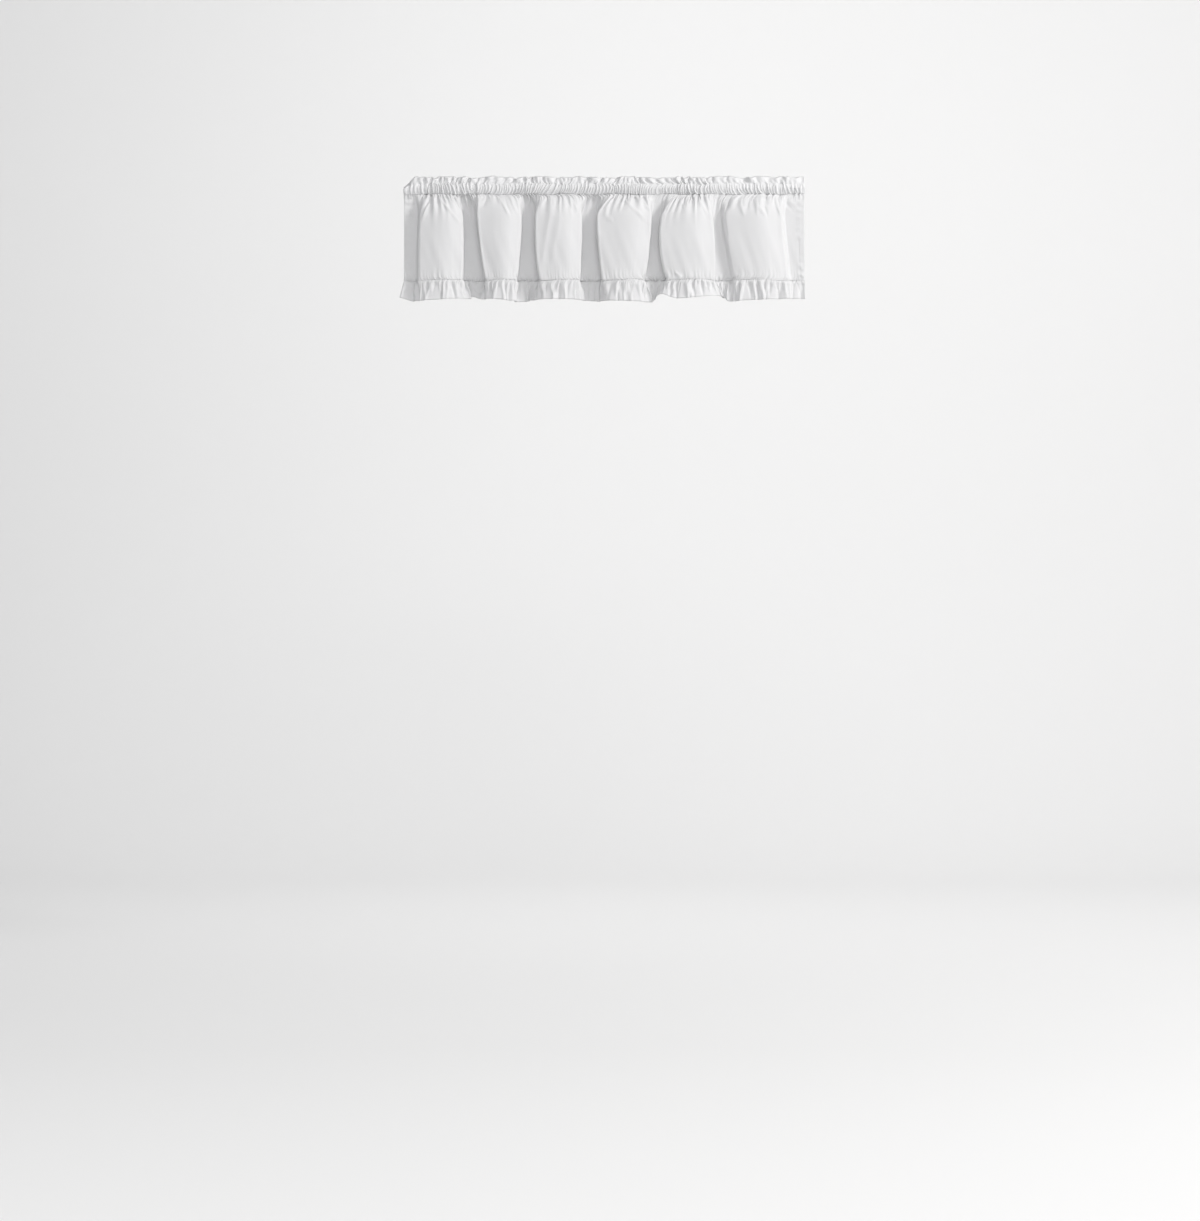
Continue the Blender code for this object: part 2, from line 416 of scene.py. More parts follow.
RIDGE, SOFT_RIDGE, FAINT_RIDGE = 0.0026, 0.0017, 0.0010
TROUGH, HOLLOW = -0.0022, -0.0028
NARROW, MEDIUM, BROAD = 0.0030, 0.0045, 0.0080
UNIT_WAVE = 0.225  # height of an even row of gathers, against its pitch
CREASES = (
    # first billow
    Crease(RIDGE, NARROW, ((-0.4445, -0.018), (-0.413, -0.057), (-0.377, -0.098))),
    Crease(SOFT_RIDGE, NARROW, ((-0.415, -0.018), (-0.410, -0.036))),
    Crease(RIDGE, NARROW, ((-0.403, -0.018), (-0.381, -0.036), (-0.374, -0.060))),
    Crease(TROUGH, NARROW, ((-0.395, -0.024), (-0.381, -0.058))),
    Crease(RIDGE, NARROW, ((-0.448, -0.022), (-0.471, -0.055), (-0.481, -0.084))),
    Crease(TROUGH, NARROW, ((-0.462, -0.030), (-0.484, -0.073))),
    # second billow
    Crease(SOFT_RIDGE, MEDIUM, ((-0.331, -0.019), (-0.334, -0.055))),
    Crease(TROUGH, MEDIUM, ((-0.307, -0.020), (-0.322, -0.053))),
    Crease(RIDGE, NARROW, ((-0.278, -0.018), (-0.272, -0.038), (-0.250, -0.076))),
    Crease(TROUGH, NARROW, ((-0.263, -0.019), (-0.258, -0.046), (-0.246, -0.070))),
    Crease(RIDGE, NARROW, ((-0.250, -0.019), (-0.242, -0.045), (-0.228, -0.070))),
    Crease(TROUGH, NARROW, ((-0.237, -0.024), (-0.228, -0.055))),
    # third billow
    Crease(SOFT_RIDGE, BROAD, ((-0.137, -0.045), (-0.155, -0.136), (-0.168, -0.226))),
    Crease(FAINT_RIDGE, BROAD, ((-0.116, -0.070), (-0.131, -0.149), (-0.142, -0.226))),
    Crease(TROUGH, NARROW, ((-0.106, -0.019), (-0.082, -0.067))),
    Crease(RIDGE, NARROW, ((-0.095, -0.018), (-0.069, -0.062))),
    Crease(SOFT_RIDGE, NARROW, ((-0.135, -0.019), (-0.132, -0.048))),
    Crease(RIDGE, NARROW, ((-0.148, -0.019), (-0.170, -0.047))),
    # fourth billow
    Crease(SOFT_RIDGE, MEDIUM, ((0.018, -0.030), (0.007, -0.052), (0.002, -0.080))),
    Crease(TROUGH, MEDIUM, ((0.026, -0.032), (0.016, -0.058), (0.012, -0.076))),
    Crease(SOFT_RIDGE, NARROW, ((0.005, -0.080), (0.024, -0.088))),
    Crease(RIDGE, NARROW, ((0.043, -0.018), (0.071, -0.052), (0.121, -0.096))),
    Crease(RIDGE, NARROW, ((0.078, -0.018), (0.101, -0.039), (0.123, -0.063))),
    Crease(TROUGH, NARROW, ((0.098, -0.022), (0.120, -0.053))),
    # fifth billow
    Crease(RIDGE, NARROW, ((0.202, -0.018), (0.205, -0.042), (0.212, -0.053))),
    Crease(HOLLOW, NARROW, ((0.222, -0.026), (0.222, -0.033))),
    Crease(RIDGE, NARROW, ((0.248, -0.033), (0.266, -0.060), (0.272, -0.072))),
    Crease(TROUGH, NARROW, ((0.259, -0.030), (0.277, -0.062))),
    Crease(SOFT_RIDGE, MEDIUM, ((0.169, -0.033), (0.155, -0.073))),
    Crease(RIDGE, NARROW, ((0.187, -0.224), (0.206, -0.241))),
    # sixth billow
    Crease(HOLLOW, BROAD, ((0.328, -0.030), (0.321, -0.058))),
    Crease(RIDGE, MEDIUM, ((0.362, -0.017), (0.361, -0.047), (0.370, -0.073))),
    Crease(HOLLOW, MEDIUM, ((0.382, -0.020), (0.378, -0.060))),
    Crease(RIDGE, MEDIUM, ((0.395, -0.017), (0.404, -0.042), (0.403, -0.070))),
    Crease(RIDGE, NARROW, ((0.410, -0.053), (0.428, -0.078))),
    Crease(TROUGH, NARROW, ((0.424, -0.050), (0.431, -0.073))),
    Crease(RIDGE, NARROW, ((0.4535, -0.018), (0.4585, -0.052), (0.470, -0.078))),
    Crease(SOFT_RIDGE, NARROW, ((0.470, -0.017), (0.512, -0.050))),
    Crease(TROUGH, NARROW, ((0.466, -0.026), (0.500, -0.058))),
)


# ---------------------------------------------------------------- lines, gathers and settling


def arc_length(line: np.ndarray) -> np.ndarray:
    """Length along a line up to each of its points."""
    return np.concatenate([[0.0], np.cumsum(np.linalg.norm(np.diff(line, axis=0), axis=1))])


def corners_rounded(line: np.ndarray, passes: int = 4) -> np.ndarray:
    """Cut every corner of a line.

    Args:
        line: (points, axes), the line.
        passes: how often its corners are cut.

    Returns:
        The smoother line, which has the same ends.
    """
    for _ in range(passes):
        cut = np.empty((2 * (len(line) - 1), line.shape[1]))
        cut[0::2] = 0.75 * line[:-1] + 0.25 * line[1:]
        cut[1::2] = 0.25 * line[:-1] + 0.75 * line[1:]
        line = np.vstack([line[:1], cut, line[-1:]])
    return line


def outward(line: np.ndarray) -> np.ndarray:
    """Unit vectors square to a line.

    Args:
        line: (points, 2), x and y.

    Returns:
        (points, 2), towards the room where the line runs to the right.
    """
    step = np.gradient(line, axis=0)
    step /= np.linalg.norm(step, axis=1)[:, None] + TINY
    return np.stack([step[:, 1], -step[:, 0]], axis=1)


def eased(share: Amount) -> Amount:
    """A share between 0 and 1, with no kink at either end."""
    share = np.clip(share, 0.0, 1.0)
    return share * share * (3 - 2 * share)


@dataclass(frozen=True)
class Gathers:
    """An uneven row of gathers along a strip of cloth."""

    pitch: float  # flat length of cloth that one gather takes
    seed: int
    unevenness: float  # of their spacing
    liveliness: float = 0.15  # of their height, beyond what their spacing brings
    oddest: float = 1.8  # limit of a spacing's draw
    heights: Pair = (0.4, 1.6)  # limits of a height's draw

    def wave(self, flat: float, columns: int) -> np.ndarray:
        """The gathers along a strip, as a wave to scale by how full the strip is.

        Args:
            flat: the strip's flat length.
            columns: how many points the strip has.

        Returns:
            How far each point stands to the side, for a fullness of one.
        """
        draw = np.random.default_rng(self.seed)
        count = int(flat / self.pitch) + 2
        widths = np.exp(self.unevenness * np.clip(draw.standard_normal(count), -self.oddest, self.oddest))
        ends = np.cumsum(widths)
        ends = (ends - ends[0]) / (ends[-1] - ends[0])
        place = np.linspace(0.0, 1.0, columns)
        lively = np.clip(1 + self.liveliness * draw.standard_normal(count), *self.heights)
        heights = np.interp(place, ends, widths * lively) * self.pitch / (math.sqrt(2) * math.pi)
        return np.sin(2 * math.pi * np.interp(place, ends, np.arange(count))) * heights


@dataclass(frozen=True)
class Crossfade:
    """How the gathers of a stitched line give way to broader ones on the way to a free edge."""

    fade: float  # share of the way over which the stitched line's own gathers fade
    middle: float  # where on the way the second row is at its strongest
    spread: float
    middle_share: float
    edge_share: float = 1.0
    edge_power: float = 1.0

    def blend(self, way: float, waves: Sequence[np.ndarray]) -> np.ndarray:
        """Blend three rows of gathers, with the squares of their shares adding up to one.

        Args:
            way: the share of the way from the stitched line to the edge.
            waves: the gathers at the stitched line, on the way and at the edge.

        Returns:
            The blended gathers.
        """
        middle = self.middle_share * math.exp(-((way - self.middle) ** 2) / self.spread)
        shares = np.array([math.exp(-way / self.fade), middle, self.edge_share * way**self.edge_power])
        shares /= np.linalg.norm(shares)
        return shares[0] * waves[0] + shares[1] * waves[1] + shares[2] * waves[2]


@dataclass(frozen=True)
class Wander:
    """A slow, smooth and uneven stray from the true."""

    seed: int
    reach: float  # the distance over which it changes
    size: float  # its usual size
    shares: tuple[float, ...] = (1.0, 0.55, 0.31)  # of its waves, each shorter as it is smaller

    def at(self, x: np.ndarray) -> np.ndarray:
        """How far it strays.

        Args:
            x: the places.

        Returns:
            The stray at each of them.
        """
        draw = np.random.default_rng(self.seed)
        total = np.zeros_like(x)
        for share in self.shares:
            total += share * np.sin(2 * math.pi * (x / (self.reach * share * 2) + draw.random()))
        return self.size * total


LOWER_STITCH_STRAY = Wander(41, 0.06, 0.0012)
UPPER_STITCH_STRAY = Wander(43, 0.06, 0.0012)
SEAM_STRAY = Wander(42, 0.08, 0.0012)


def gathered(line: np.ndarray, wave: np.ndarray, step: Amount, strength: float = 1.0) -> np.ndarray:
    """Take up a strip's fullness in gathers.

    Args:
        line: (columns, 2), the line that the strip follows.
        wave: the gathers.
        step: the strip's flat length from one column to the next.
        strength: scales the gathers.

    Returns:
        (columns, 2), the gathered strip.
    """
    spacing = np.linalg.norm(np.gradient(line, axis=0), axis=1)
    slack = np.sqrt(np.maximum(1 - (spacing / step) ** 2, 0.0))
    return line + outward(line) * (wave * slack * strength)[:, None]


def sewn_line(line: np.ndarray, wave: np.ndarray, flat: float) -> np.ndarray:
    """Sew a strip of a given flat length onto a shorter line, its fullness taken up by gathers.

    Args:
        line: (columns, 2), the line that it is sewn to.
        wave: the gathers.
        flat: the strip's flat length.

    Returns:
        (columns, 2), the strip, its columns evenly spaced along it.
    """
    step = flat / (len(line) - 1)
    low, high, halvings = 0.0, 4.0, 30
    for _ in range(halvings):
        strength = (low + high) / 2
        strip = gathered(line, wave, step, strength)
        if arc_length(strip)[-1] < flat:
            low = strength
        else:
            high = strength
    length = arc_length(strip)
    even = np.linspace(0.0, length[-1], len(line))
    return np.stack([np.interp(even, length, strip[:, axis]) for axis in (0, 1)], axis=1)


@dataclass
class Settler:
    """Settles a grid of cloth: rows run along the valance, columns down it."""

    start: np.ndarray  # (rows, columns, 3), where the points start
    shape: np.ndarray  # (rows, columns, 3), the shape that the cloth keeps at large
    across: np.ndarray  # (rows, columns - 1), lengths of the threads along each row
    held: Iterable[int]  # rows that are sewn fast
    firm: Amount  # how strongly each row keeps to its start
    crease_across: float = 0.10  # how strongly the cloth resists creasing, along the rows
    crease_along: float = 0.08
    shear: float = 0.12
    keeping: float = 0.08  # how strongly the shape is kept
    keeping_interval: int = 4  # moves from one such pull to the next
    window: int = 14  # columns to each side over which the shape is kept
    drag: float = 0.8
    limit: Callable[[np.ndarray], None] = lambda points: None

    def __post_init__(self) -> None:
        """Work out the lengths that the cloth keeps."""
        single = np.float32
        shape = self.shape
        self.points = self.start.astype(single)
        self.begun = self.points.copy()
        self.firmness = np.broadcast_to(self.firm, len(self.points)).astype(single)[:, None, None]
        self.before = self.points.copy()
        self.pins = {row: self.points[row].copy() for row in self.held}
        self.along = np.linalg.norm(np.diff(shape, axis=0), axis=2).astype(single)
        steps = np.diff(shape, axis=1)
        lengths = np.linalg.norm(steps, axis=2)
        spare = steps / (lengths[..., None] + TINY) * (self.across - lengths)[..., None]
        spare = 0.5 * (spare[1:] + spare[:-1])
        self.falling = np.linalg.norm(shape[1:, 1:] - shape[:-1, :-1] + spare, axis=2).astype(single)
        self.rising = np.linalg.norm(shape[1:, :-1] - shape[:-1, 1:] - spare, axis=2).astype(single)
        self.over_rows = np.linalg.norm(shape[2:] - shape[:-2], axis=2).astype(single)
        self.across = self.across.astype(single)
        self.over_columns = self.across[:, 1:] + self.across[:, :-1]
        self.shape = shape.astype(single)

    @staticmethod
    def _pull(first: np.ndarray, second: np.ndarray, length: np.ndarray, strength: float) -> None:
        """Move pairs of points along the line between them, towards the length that they keep.

        Args:
            first: one point of each pair.
            second: the other.
            length: what each pair keeps between them.
            strength: the share of the way that they move.
        """
        gap = second - first
        now = np.sqrt(np.einsum("...i,...i->...", gap, gap)) + TINY_SINGLE
        gap *= ((now - length) / now * np.float32(0.5 * strength))[..., None]
        first += gap
        second -= gap

    @classmethod
    def _pull_apart(cls, points: np.ndarray, lengths: np.ndarray, reach: int, strength: float) -> None:
        """Pull the points that lie a number of places apart, in passes that move no point twice.

        Args:
            points: the grid, with the axis that the pulls run along first.
            lengths: what each pair keeps between them.
            reach: how many places apart they lie.
            strength: the share of the way that they move.
        """
        for start in range(2 * reach):
            second = points[start + reach :: 2 * reach]
            count = len(second)
            first = points[start :: 2 * reach][:count]
            cls._pull(first, second, lengths[start :: 2 * reach][:count], strength)

    def _pull_diagonals(self) -> None:
        """Resist shear."""
        for start in (0, 1):
            second = self.points[start + 1 :: 2]
            count = len(second)
            first = self.points[start::2][:count]
            self._pull(first[:, :-1], second[:, 1:], self.falling[start::2][:count], self.shear)
            self._pull(first[:, 1:], second[:, :-1], self.rising[start::2][:count], self.shear)

    def _keep_shape(self) -> None:
        """Bring the local average of each row back to the shape at large, and firm rows to their start."""
        off = np.pad(self.shape - self.points, ((0, 0), (self.window, self.window), (0, 0)), mode="edge")
        total = np.cumsum(off, axis=1, dtype=np.float64)
        total = np.concatenate([np.zeros_like(total[:, :1]), total], axis=1)
        span = 2 * self.window + 1
        mean = (total[:, span:] - total[:, :-span]) / span
        self.points += (mean * self.keeping).astype(np.float32)
        self.points += (self.begun - self.points) * self.firmness

    def settle(self, steps: int) -> np.ndarray:
        """Let the cloth come to rest.

        Args:
            steps: how many small moves it makes.

        Returns:
            (rows, columns, 3), where the points come to rest.
        """
        by_column = self.points.swapaxes(0, 1)
        for step in range(steps):
            moving = (self.points - self.before) * np.float32(self.drag)
            self.before = self.points.copy()
            self.points += moving
            self._pull_apart(by_column, self.across.T, 1, 1.0)
            self._pull_apart(self.points, self.along, 1, 1.0)
            self._pull_diagonals()
            self._pull_apart(by_column, self.over_columns.T, 2, self.crease_across)
            self._pull_apart(self.points, self.over_rows, 2, self.crease_along)
            if step % self.keeping_interval == 0:
                self._keep_shape()
            self.limit(self.points)
            for row, place in self.pins.items():
                self.points[row] = place
        return self.points.astype(float)


class Detail(Enum):
    """How many small moves settle the cloth."""

    ROUGH = 12
    FULL = 360


def detail() -> Detail:
    """The settling that is used: always the full one."""
    return Detail.FULL


# ---------------------------------------------------------------- pieces


def placed(name: str, data: bpy.types.ID) -> bpy.types.Object:
    """Make an object and put it in the scene.

    Args:
        name: the object's name.
        data: its mesh, light or camera.

    Returns:
        The new object.
    """
    made = bpy.data.objects.new(name, data)
    bpy.context.scene.collection.objects.link(made)
    return made


def smooth_mesh(
    name: str,
    points: Sequence[Sequence[float]],
    faces: Sequence[Sequence[int]],
    material: bpy.types.Material,
) -> bpy.types.Mesh:
    """Make a mesh with one smooth finish.

    Args:
        name: the mesh's name.
        points: x, y and z of each point.
        faces: the points of each face.
        material: its finish.

    Returns:
        The new mesh.
    """
    mesh = bpy.data.meshes.new(name)
    mesh.from_pydata(points, [], faces)
    mesh.materials.append(material)
    mesh.shade_smooth()
    return mesh


@dataclass
class Stitching:
    """Lines of machine stitching: a short arch of thread for each stitch."""

    finish: ThreadFinish
    stitch: float = 0.0025
    gap: float = 0.0006
    first_at: float = 0.0004  # from the end of the line
    radius: float = 0.00022
    arch: float = 1.7  # rise of its middle, in thread radii
    arch_power: float = 0.5
    along: int = 5  # points along a stitch
    around: int = 4

    def __post_init__(self) -> None:
        """Start with no stitches."""
        self.points: list[np.ndarray] = []
        self.faces: list[np.ndarray] = []
        self.count = 0

    def sew(self, line: np.ndarray, lift: float, face: Place = FRONT) -> None:
        """Sew one line.

        Args:
            line: (points, 3), the line on the cloth's middle.
            lift: from there to the cloth's face.
            face: the side that the stitches show on.
        """
        tangent = np.gradient(line, axis=0)
        along_face = (tangent @ np.array(face)) / (tangent**2).sum(axis=1)
        side = np.array(face) - tangent * along_face[:, None]
        side /= np.linalg.norm(side, axis=1)[:, None]
        length = arc_length(line)
        starts = np.arange(self.first_at, length[-1] - self.stitch, self.stitch + self.gap)
        share = np.linspace(0.0, 1.0, self.along)
        where = starts[:, None] + share * self.stitch
        centre, up = (
            np.stack([np.interp(where, length, found[:, axis]) for axis in range(3)], axis=-1)
            for found in (line, side)
        )
        up /= np.linalg.norm(up, axis=-1)[..., None]
        arch = lift - self.radius + self.arch * self.radius * np.sin(math.pi * share) ** self.arch_power
        centre = centre + up * arch[:, None]
        ahead = np.gradient(centre, axis=1)
        ahead /= np.linalg.norm(ahead, axis=-1)[..., None]
        across = np.cross(ahead, up)
        turn = 2 * math.pi * (np.arange(self.around) + 0.5) / self.around
        ring = up[:, :, None] * np.cos(turn)[:, None] + across[:, :, None] * np.sin(turn)[:, None]
        points = (centre[:, :, None] + ring * self.radius).reshape(-1, 3)
        number = np.arange(len(points)).reshape(len(starts), self.along, self.around) + self.count
        nearer, further = number[:, :-1], number[:, 1:]
        tube = np.stack([nearer, np.roll(nearer, -1, 2), np.roll(further, -1, 2), further], axis=-1)
        ends = np.concatenate([number[:, 0, ::-1], number[:, -1]])
        self.points.append(points)
        self.faces += [tube.reshape(-1, 4), ends]
        self.count += len(points)

    def build(self, name: str) -> bpy.types.Object:
        """Make the piece.

        Args:
            name: the piece's name.

        Returns:
            The stitches as one object.
        """
        points, faces = (np.concatenate(found).tolist() for found in (self.points, self.faces))
        piece = placed(name, smooth_mesh(name, points, faces, self.finish.material()))
        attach(piece, ROOT)
        return piece


@dataclass
class Sheet:
    """What every piece of cloth shares: its grid of points, made into a mesh with its flat coordinates."""

    finish: ClothFinish
    columns: int = 840
    flat: float = 0.0  # flat length along the valance

    def __post_init__(self) -> None:
        """Start with no points."""
        self.points = np.zeros((0, self.columns, 3))

    @property
    def step(self) -> float:
        """Flat length from one column to the next."""
        return self.flat / (self.columns - 1)

    @property
    def drop(self) -> float:
        """Flat length down the cloth."""
        return float(np.linalg.norm(np.diff(self.points, axis=0), axis=2).sum(axis=0).mean())

    def spread(self) -> np.ndarray:
        """Share of the flat length at each column."""
        return np.linspace(0.0, 1.0, self.columns)

    def even_threads(self, rows: int) -> np.ndarray:
        """Lengths of the threads between columns where every row keeps the flat length."""
        return np.full((rows, self.columns - 1), self.step)

    def waves(self, *rows: Gathers) -> list[np.ndarray]:
        """The waves of several rows of gathers, along the sheet."""
        return [row.wave(self.flat, self.columns) for row in rows]

    def mesh_object(self, name: str, hems: np.ndarray) -> bpy.types.Object:
        """Make the grid a sheet of cloth with thickness.

        Args:
            name: the piece's name.
            hems: (rows, columns), 1 where the cloth is turned over into a hem and 0 where it is single.

        Returns:
            The new object.
        """
        rows, columns, _ = self.points.shape
        number = np.arange(rows * columns).reshape(rows, columns)
        corners = [number[:-1, :-1], number[1:, :-1], number[1:, 1:], number[:-1, 1:]]
        faces = np.stack(corners, axis=-1).reshape(-1, 4)
        mesh = smooth_mesh(name, self.points.reshape(-1, 3).tolist(), faces.tolist(), self.finish.material())
        row_gaps = np.linalg.norm(np.diff(self.points, axis=0), axis=2).mean(axis=1)
        depth = np.concatenate([[0.0], np.cumsum(row_gaps)])
        flat = np.stack(np.meshgrid(self.spread() * self.flat, -depth), axis=-1).reshape(-1, 2)
        layer = mesh.uv_layers.new(name="flat")
        layer.data.foreach_set("uv", flat[faces.ravel()].astype(np.float32).ravel())
        piece = placed(name, mesh)
        group = piece.vertex_groups.new(name="hem")
        if hems.any():
            group.add(np.flatnonzero(hems.ravel()).tolist(), 1.0, "REPLACE")
        thickness = piece.modifiers.new("Thickness", "SOLIDIFY")
        thickness.thickness = HEM_LAYERS * SIZES.cloth
        thickness.vertex_group = "hem"
        thickness.thickness_vertex_group = 1 / HEM_LAYERS
        thickness.offset = 0.0
        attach(piece, ROOT)
        return piece


@dataclass
class Panel(Sheet):
    """The main cloth, hanging in uneven billows from the lower stitching to the ruffle's seam."""

    ease: float = 1.006  # its flat width, against the line round its billows at the waist
    rows_fine: float = 0.0019  # row spacing at the stitching and at the seam
    rows_growth: float = 0.058  # how fast the rows spread away from them
    rows_coarse_from: float = 0.080
    reach: float = 0.006  # how far the rounding of a billow's edges reaches
    crown: float = 0.0145  # how much further a billow stands out at its crown
    crown_place: float = 0.62  # from the left edge, as a share of a billow's width
    edge_share: float = 0.12  # how far behind the front a billow's edge lies, as a share of its depth
    foot_depth: float = 0.88  # depth of the billows at the seam, against that at the waist
    open_deep: Pair = (0.078, 3.3)  # how far below the stitching the billows are full, and how softly
    open_wide: Pair = (0.060, 1.35)
    open_back: Pair = (0.030, 2.0)
    samples: int = 400  # of the rod's share-out, and of a side hem's ripple
    smoothing: int = 6  # samples to each side, in the rod's share-out
    least_fullness: float = 1.15  # flat width against hung width, where the gathers are fewest
    side_hem: Pair = (0.018, 0.015)  # left and right
    stitch_inset: float = 0.0015  # from a side hem's inner edge to its stitching
    pucker: float = 0.0011  # how far the side hems ripple
    pucker_gathers: tuple[Gathers, Gathers] = (Gathers(0.019, 31, 0.3), Gathers(0.019, 32, 0.3))
    pucker_middle: float = 0.75  # in widths of the hem, from its edge
    pucker_spread: float = 0.55
    pucker_from: float = 0.06  # share of the way down over which it comes in
    groove: Pair = (0.0012, 0.0004)  # width and depth of the dip along a side hem's inner edge
    uneven: Wander = Wander(51, 0.045, 0.00035)  # faint waviness of the whole cloth
    uneven_slant: float = 0.35
    uneven_swell: float = 24.0  # radians to a metre of height
    crease_in: Pair = (0.10, 0.22)  # how a crease fades in and out, in shares of its path
    crease_out: Pair = (1.15, 0.45)
    whole_above: float = 0.038  # how far below the stitching the rows keep the cloth's whole width
    eased_in: float = 0.065  # share of extra width that is sewn in at the seam
    eased_reach: float = 0.012
    tight_reach: Pair = (0.009, 0.007)  # how far the small gathers last, from the stitching and the seam
    stray_reach: float = 0.02  # how far the rows follow the stitching and the seam as they stray
    firm_from: Pair = (0.060, 0.034)  # how far from the stitching and from the seam it is at its firmest
    firm: Pair = (0.01, 0.30)  # at the stitching and the seam, and what it gains away from them
    top_gathers: Gathers = Gathers(0.0106, 3, 0.70, 0.45)
    fan_gathers: Gathers = Gathers(0.0230, 5, 0.40, 0.40)
    seam_gathers: Gathers = Gathers(0.0078, 8, 0.35, 0.3)
    foot_gathers: Gathers = Gathers(0.0112, 9, 0.45, 0.50)

    def __post_init__(self) -> None:
        """Find how the flat cloth is shared out along the line at the waist, and along the rod."""
        super().__post_init__()
        corners = self._open_corners(SIZES.waist)
        length = arc_length(corners_rounded(corners))
        self.shares = length / length[-1]
        self.flat = length[-1] * self.ease
        corner_shares = arc_length(corners) / arc_length(corners)[-1]
        knots = [(0.0, -SIZES.half)]
        for number, fold in enumerate(FOLDS):
            necks = (fold.shoulder[0] + fold.neck[0], fold.shoulder[1] - fold.neck[1])
            for corner, neck in zip(EDGE_CORNERS, necks):
                knots.append((corner_shares[CORNERS_A_FOLD * number + corner], neck))
        knots.append((1.0, SIZES.half))
        spread = np.linspace(0, 1, self.samples)
        place = np.interp(spread, *np.array(knots).T)
        steps = np.minimum(np.diff(place), self.flat / (self.samples - 1) / self.least_fullness)
        window = 2 * self.smoothing + 1
        padded = np.pad(steps, self.smoothing, mode="edge")
        steps = np.convolve(padded, np.ones(window) / window, mode="valid")
        place = np.concatenate([[0.0], np.cumsum(steps)])
        self.rod_place = np.interp(self.shares, spread, place / place[-1] * SIZES.width - SIZES.half)

    @staticmethod
    def _edges(fold: Fold, z: float) -> Pair:
        """Find the edges of a billow's front.

        Args:
            fold: the billow.
            z: a height, from the shoulder down.

        Returns:
            x of its left and right edge there.
        """
        high, middle, low = SIZES.shoulder, SIZES.waist, SIZES.foot
        first = (z - middle) * (z - low) / ((high - middle) * (high - low))
        second = (z - high) * (z - low) / ((middle - high) * (middle - low))
        third = (z - high) * (z - middle) / ((low - high) * (low - middle))
        left, right = (
            first * stations[0] + second * stations[1] + third * stations[2]
            for stations in zip(fold.shoulder, fold.waist, fold.foot)
        )
        return left, right

    def _open_corners(self, z: float) -> np.ndarray:
        """Corners of the panel's line at a height, as if the billows were open all the way up.

        Args:
            z: the height.

        Returns:
            (corners, 2), x and y of each corner from left to right.
        """
        z = min(z, SIZES.shoulder)
        depth = 1 - (1 - self.foot_depth) * eased((SIZES.waist - z) / (SIZES.waist - SIZES.seam))
        corners = [(-SIZES.half, RECESS_DEPTHS[0] * depth)]
        for fold, back_left, back_right in zip(FOLDS, RECESS_DEPTHS, RECESS_DEPTHS[1:]):
            left, right = self._edges(fold, z)
            start, end = left + fold.brow[0], right - fold.brow[1]
            top = start + (end - start) * self.crown_place
            rise_left = self.crown * self.reach / (top - start)
            rise_right = self.crown * self.reach / (end - top)
            corners += [
                (left - fold.run[0] - self.reach, back_left * depth),
                (left - fold.run[0], back_left * depth),
                (left, (-fold.proud + (back_left + fold.proud) * self.edge_share) * depth),
                (start, -(fold.proud + fold.rim) * depth),
                (start + self.reach, -(fold.proud + rise_left) * depth),
                (top, -(fold.proud + self.crown) * depth),
                (end - self.reach, -(fold.proud + rise_right) * depth),
                (end, -fold.proud * depth),
                (right, (-fold.proud + (back_right + fold.proud) * self.edge_share) * depth),
                (right + fold.run[1], back_right * depth),
                (right + fold.run[1] + self.reach, back_right * depth),
            ]
        corners.append((SIZES.half, RECESS_DEPTHS[-1] * depth))
        return np.array(corners)

    def line(self, z: float, spread: np.ndarray) -> np.ndarray:
        """The panel's smooth line at a height.

        Args:
            z: the height.
            spread: shares of the flat width at which the line is wanted.

        Returns:
            (points, 2), x and y.
        """
        opened = corners_rounded(self._open_corners(z))
        down = SIZES.lower_stitch - z
        wide, deep, back = (
            1 - max(0.0, 1 - down / reach) ** softness
            for reach, softness in (self.open_wide, self.open_deep, self.open_back)
        )
        x = self.rod_place + (opened[:, 0] - self.rod_place) * wide
        y = opened[:, 1] * deep
        y = np.where(y > 0, opened[:, 1] * back, y)
        return np.stack([np.interp(spread, self.shares, x), np.interp(spread, self.shares, y)], axis=1)

    def _heights(self) -> np.ndarray:
        """Space the rows.

        Returns:
            The height of each, from the stitching down, close together there and at the seam.
        """
        heights = [SIZES.lower_stitch]
        while heights[-1] > SIZES.seam + self.rows_fine / 4:
            near = max(0.0, min(SIZES.lower_stitch - heights[-1], heights[-1] - SIZES.seam))
            heights.append(heights[-1] - self.rows_fine - self.rows_growth * min(near, self.rows_coarse_from))
        found = np.array(heights)
        drop = SIZES.lower_stitch - SIZES.seam
        return SIZES.lower_stitch - (SIZES.lower_stitch - found) * drop / (SIZES.lower_stitch - found[-1])

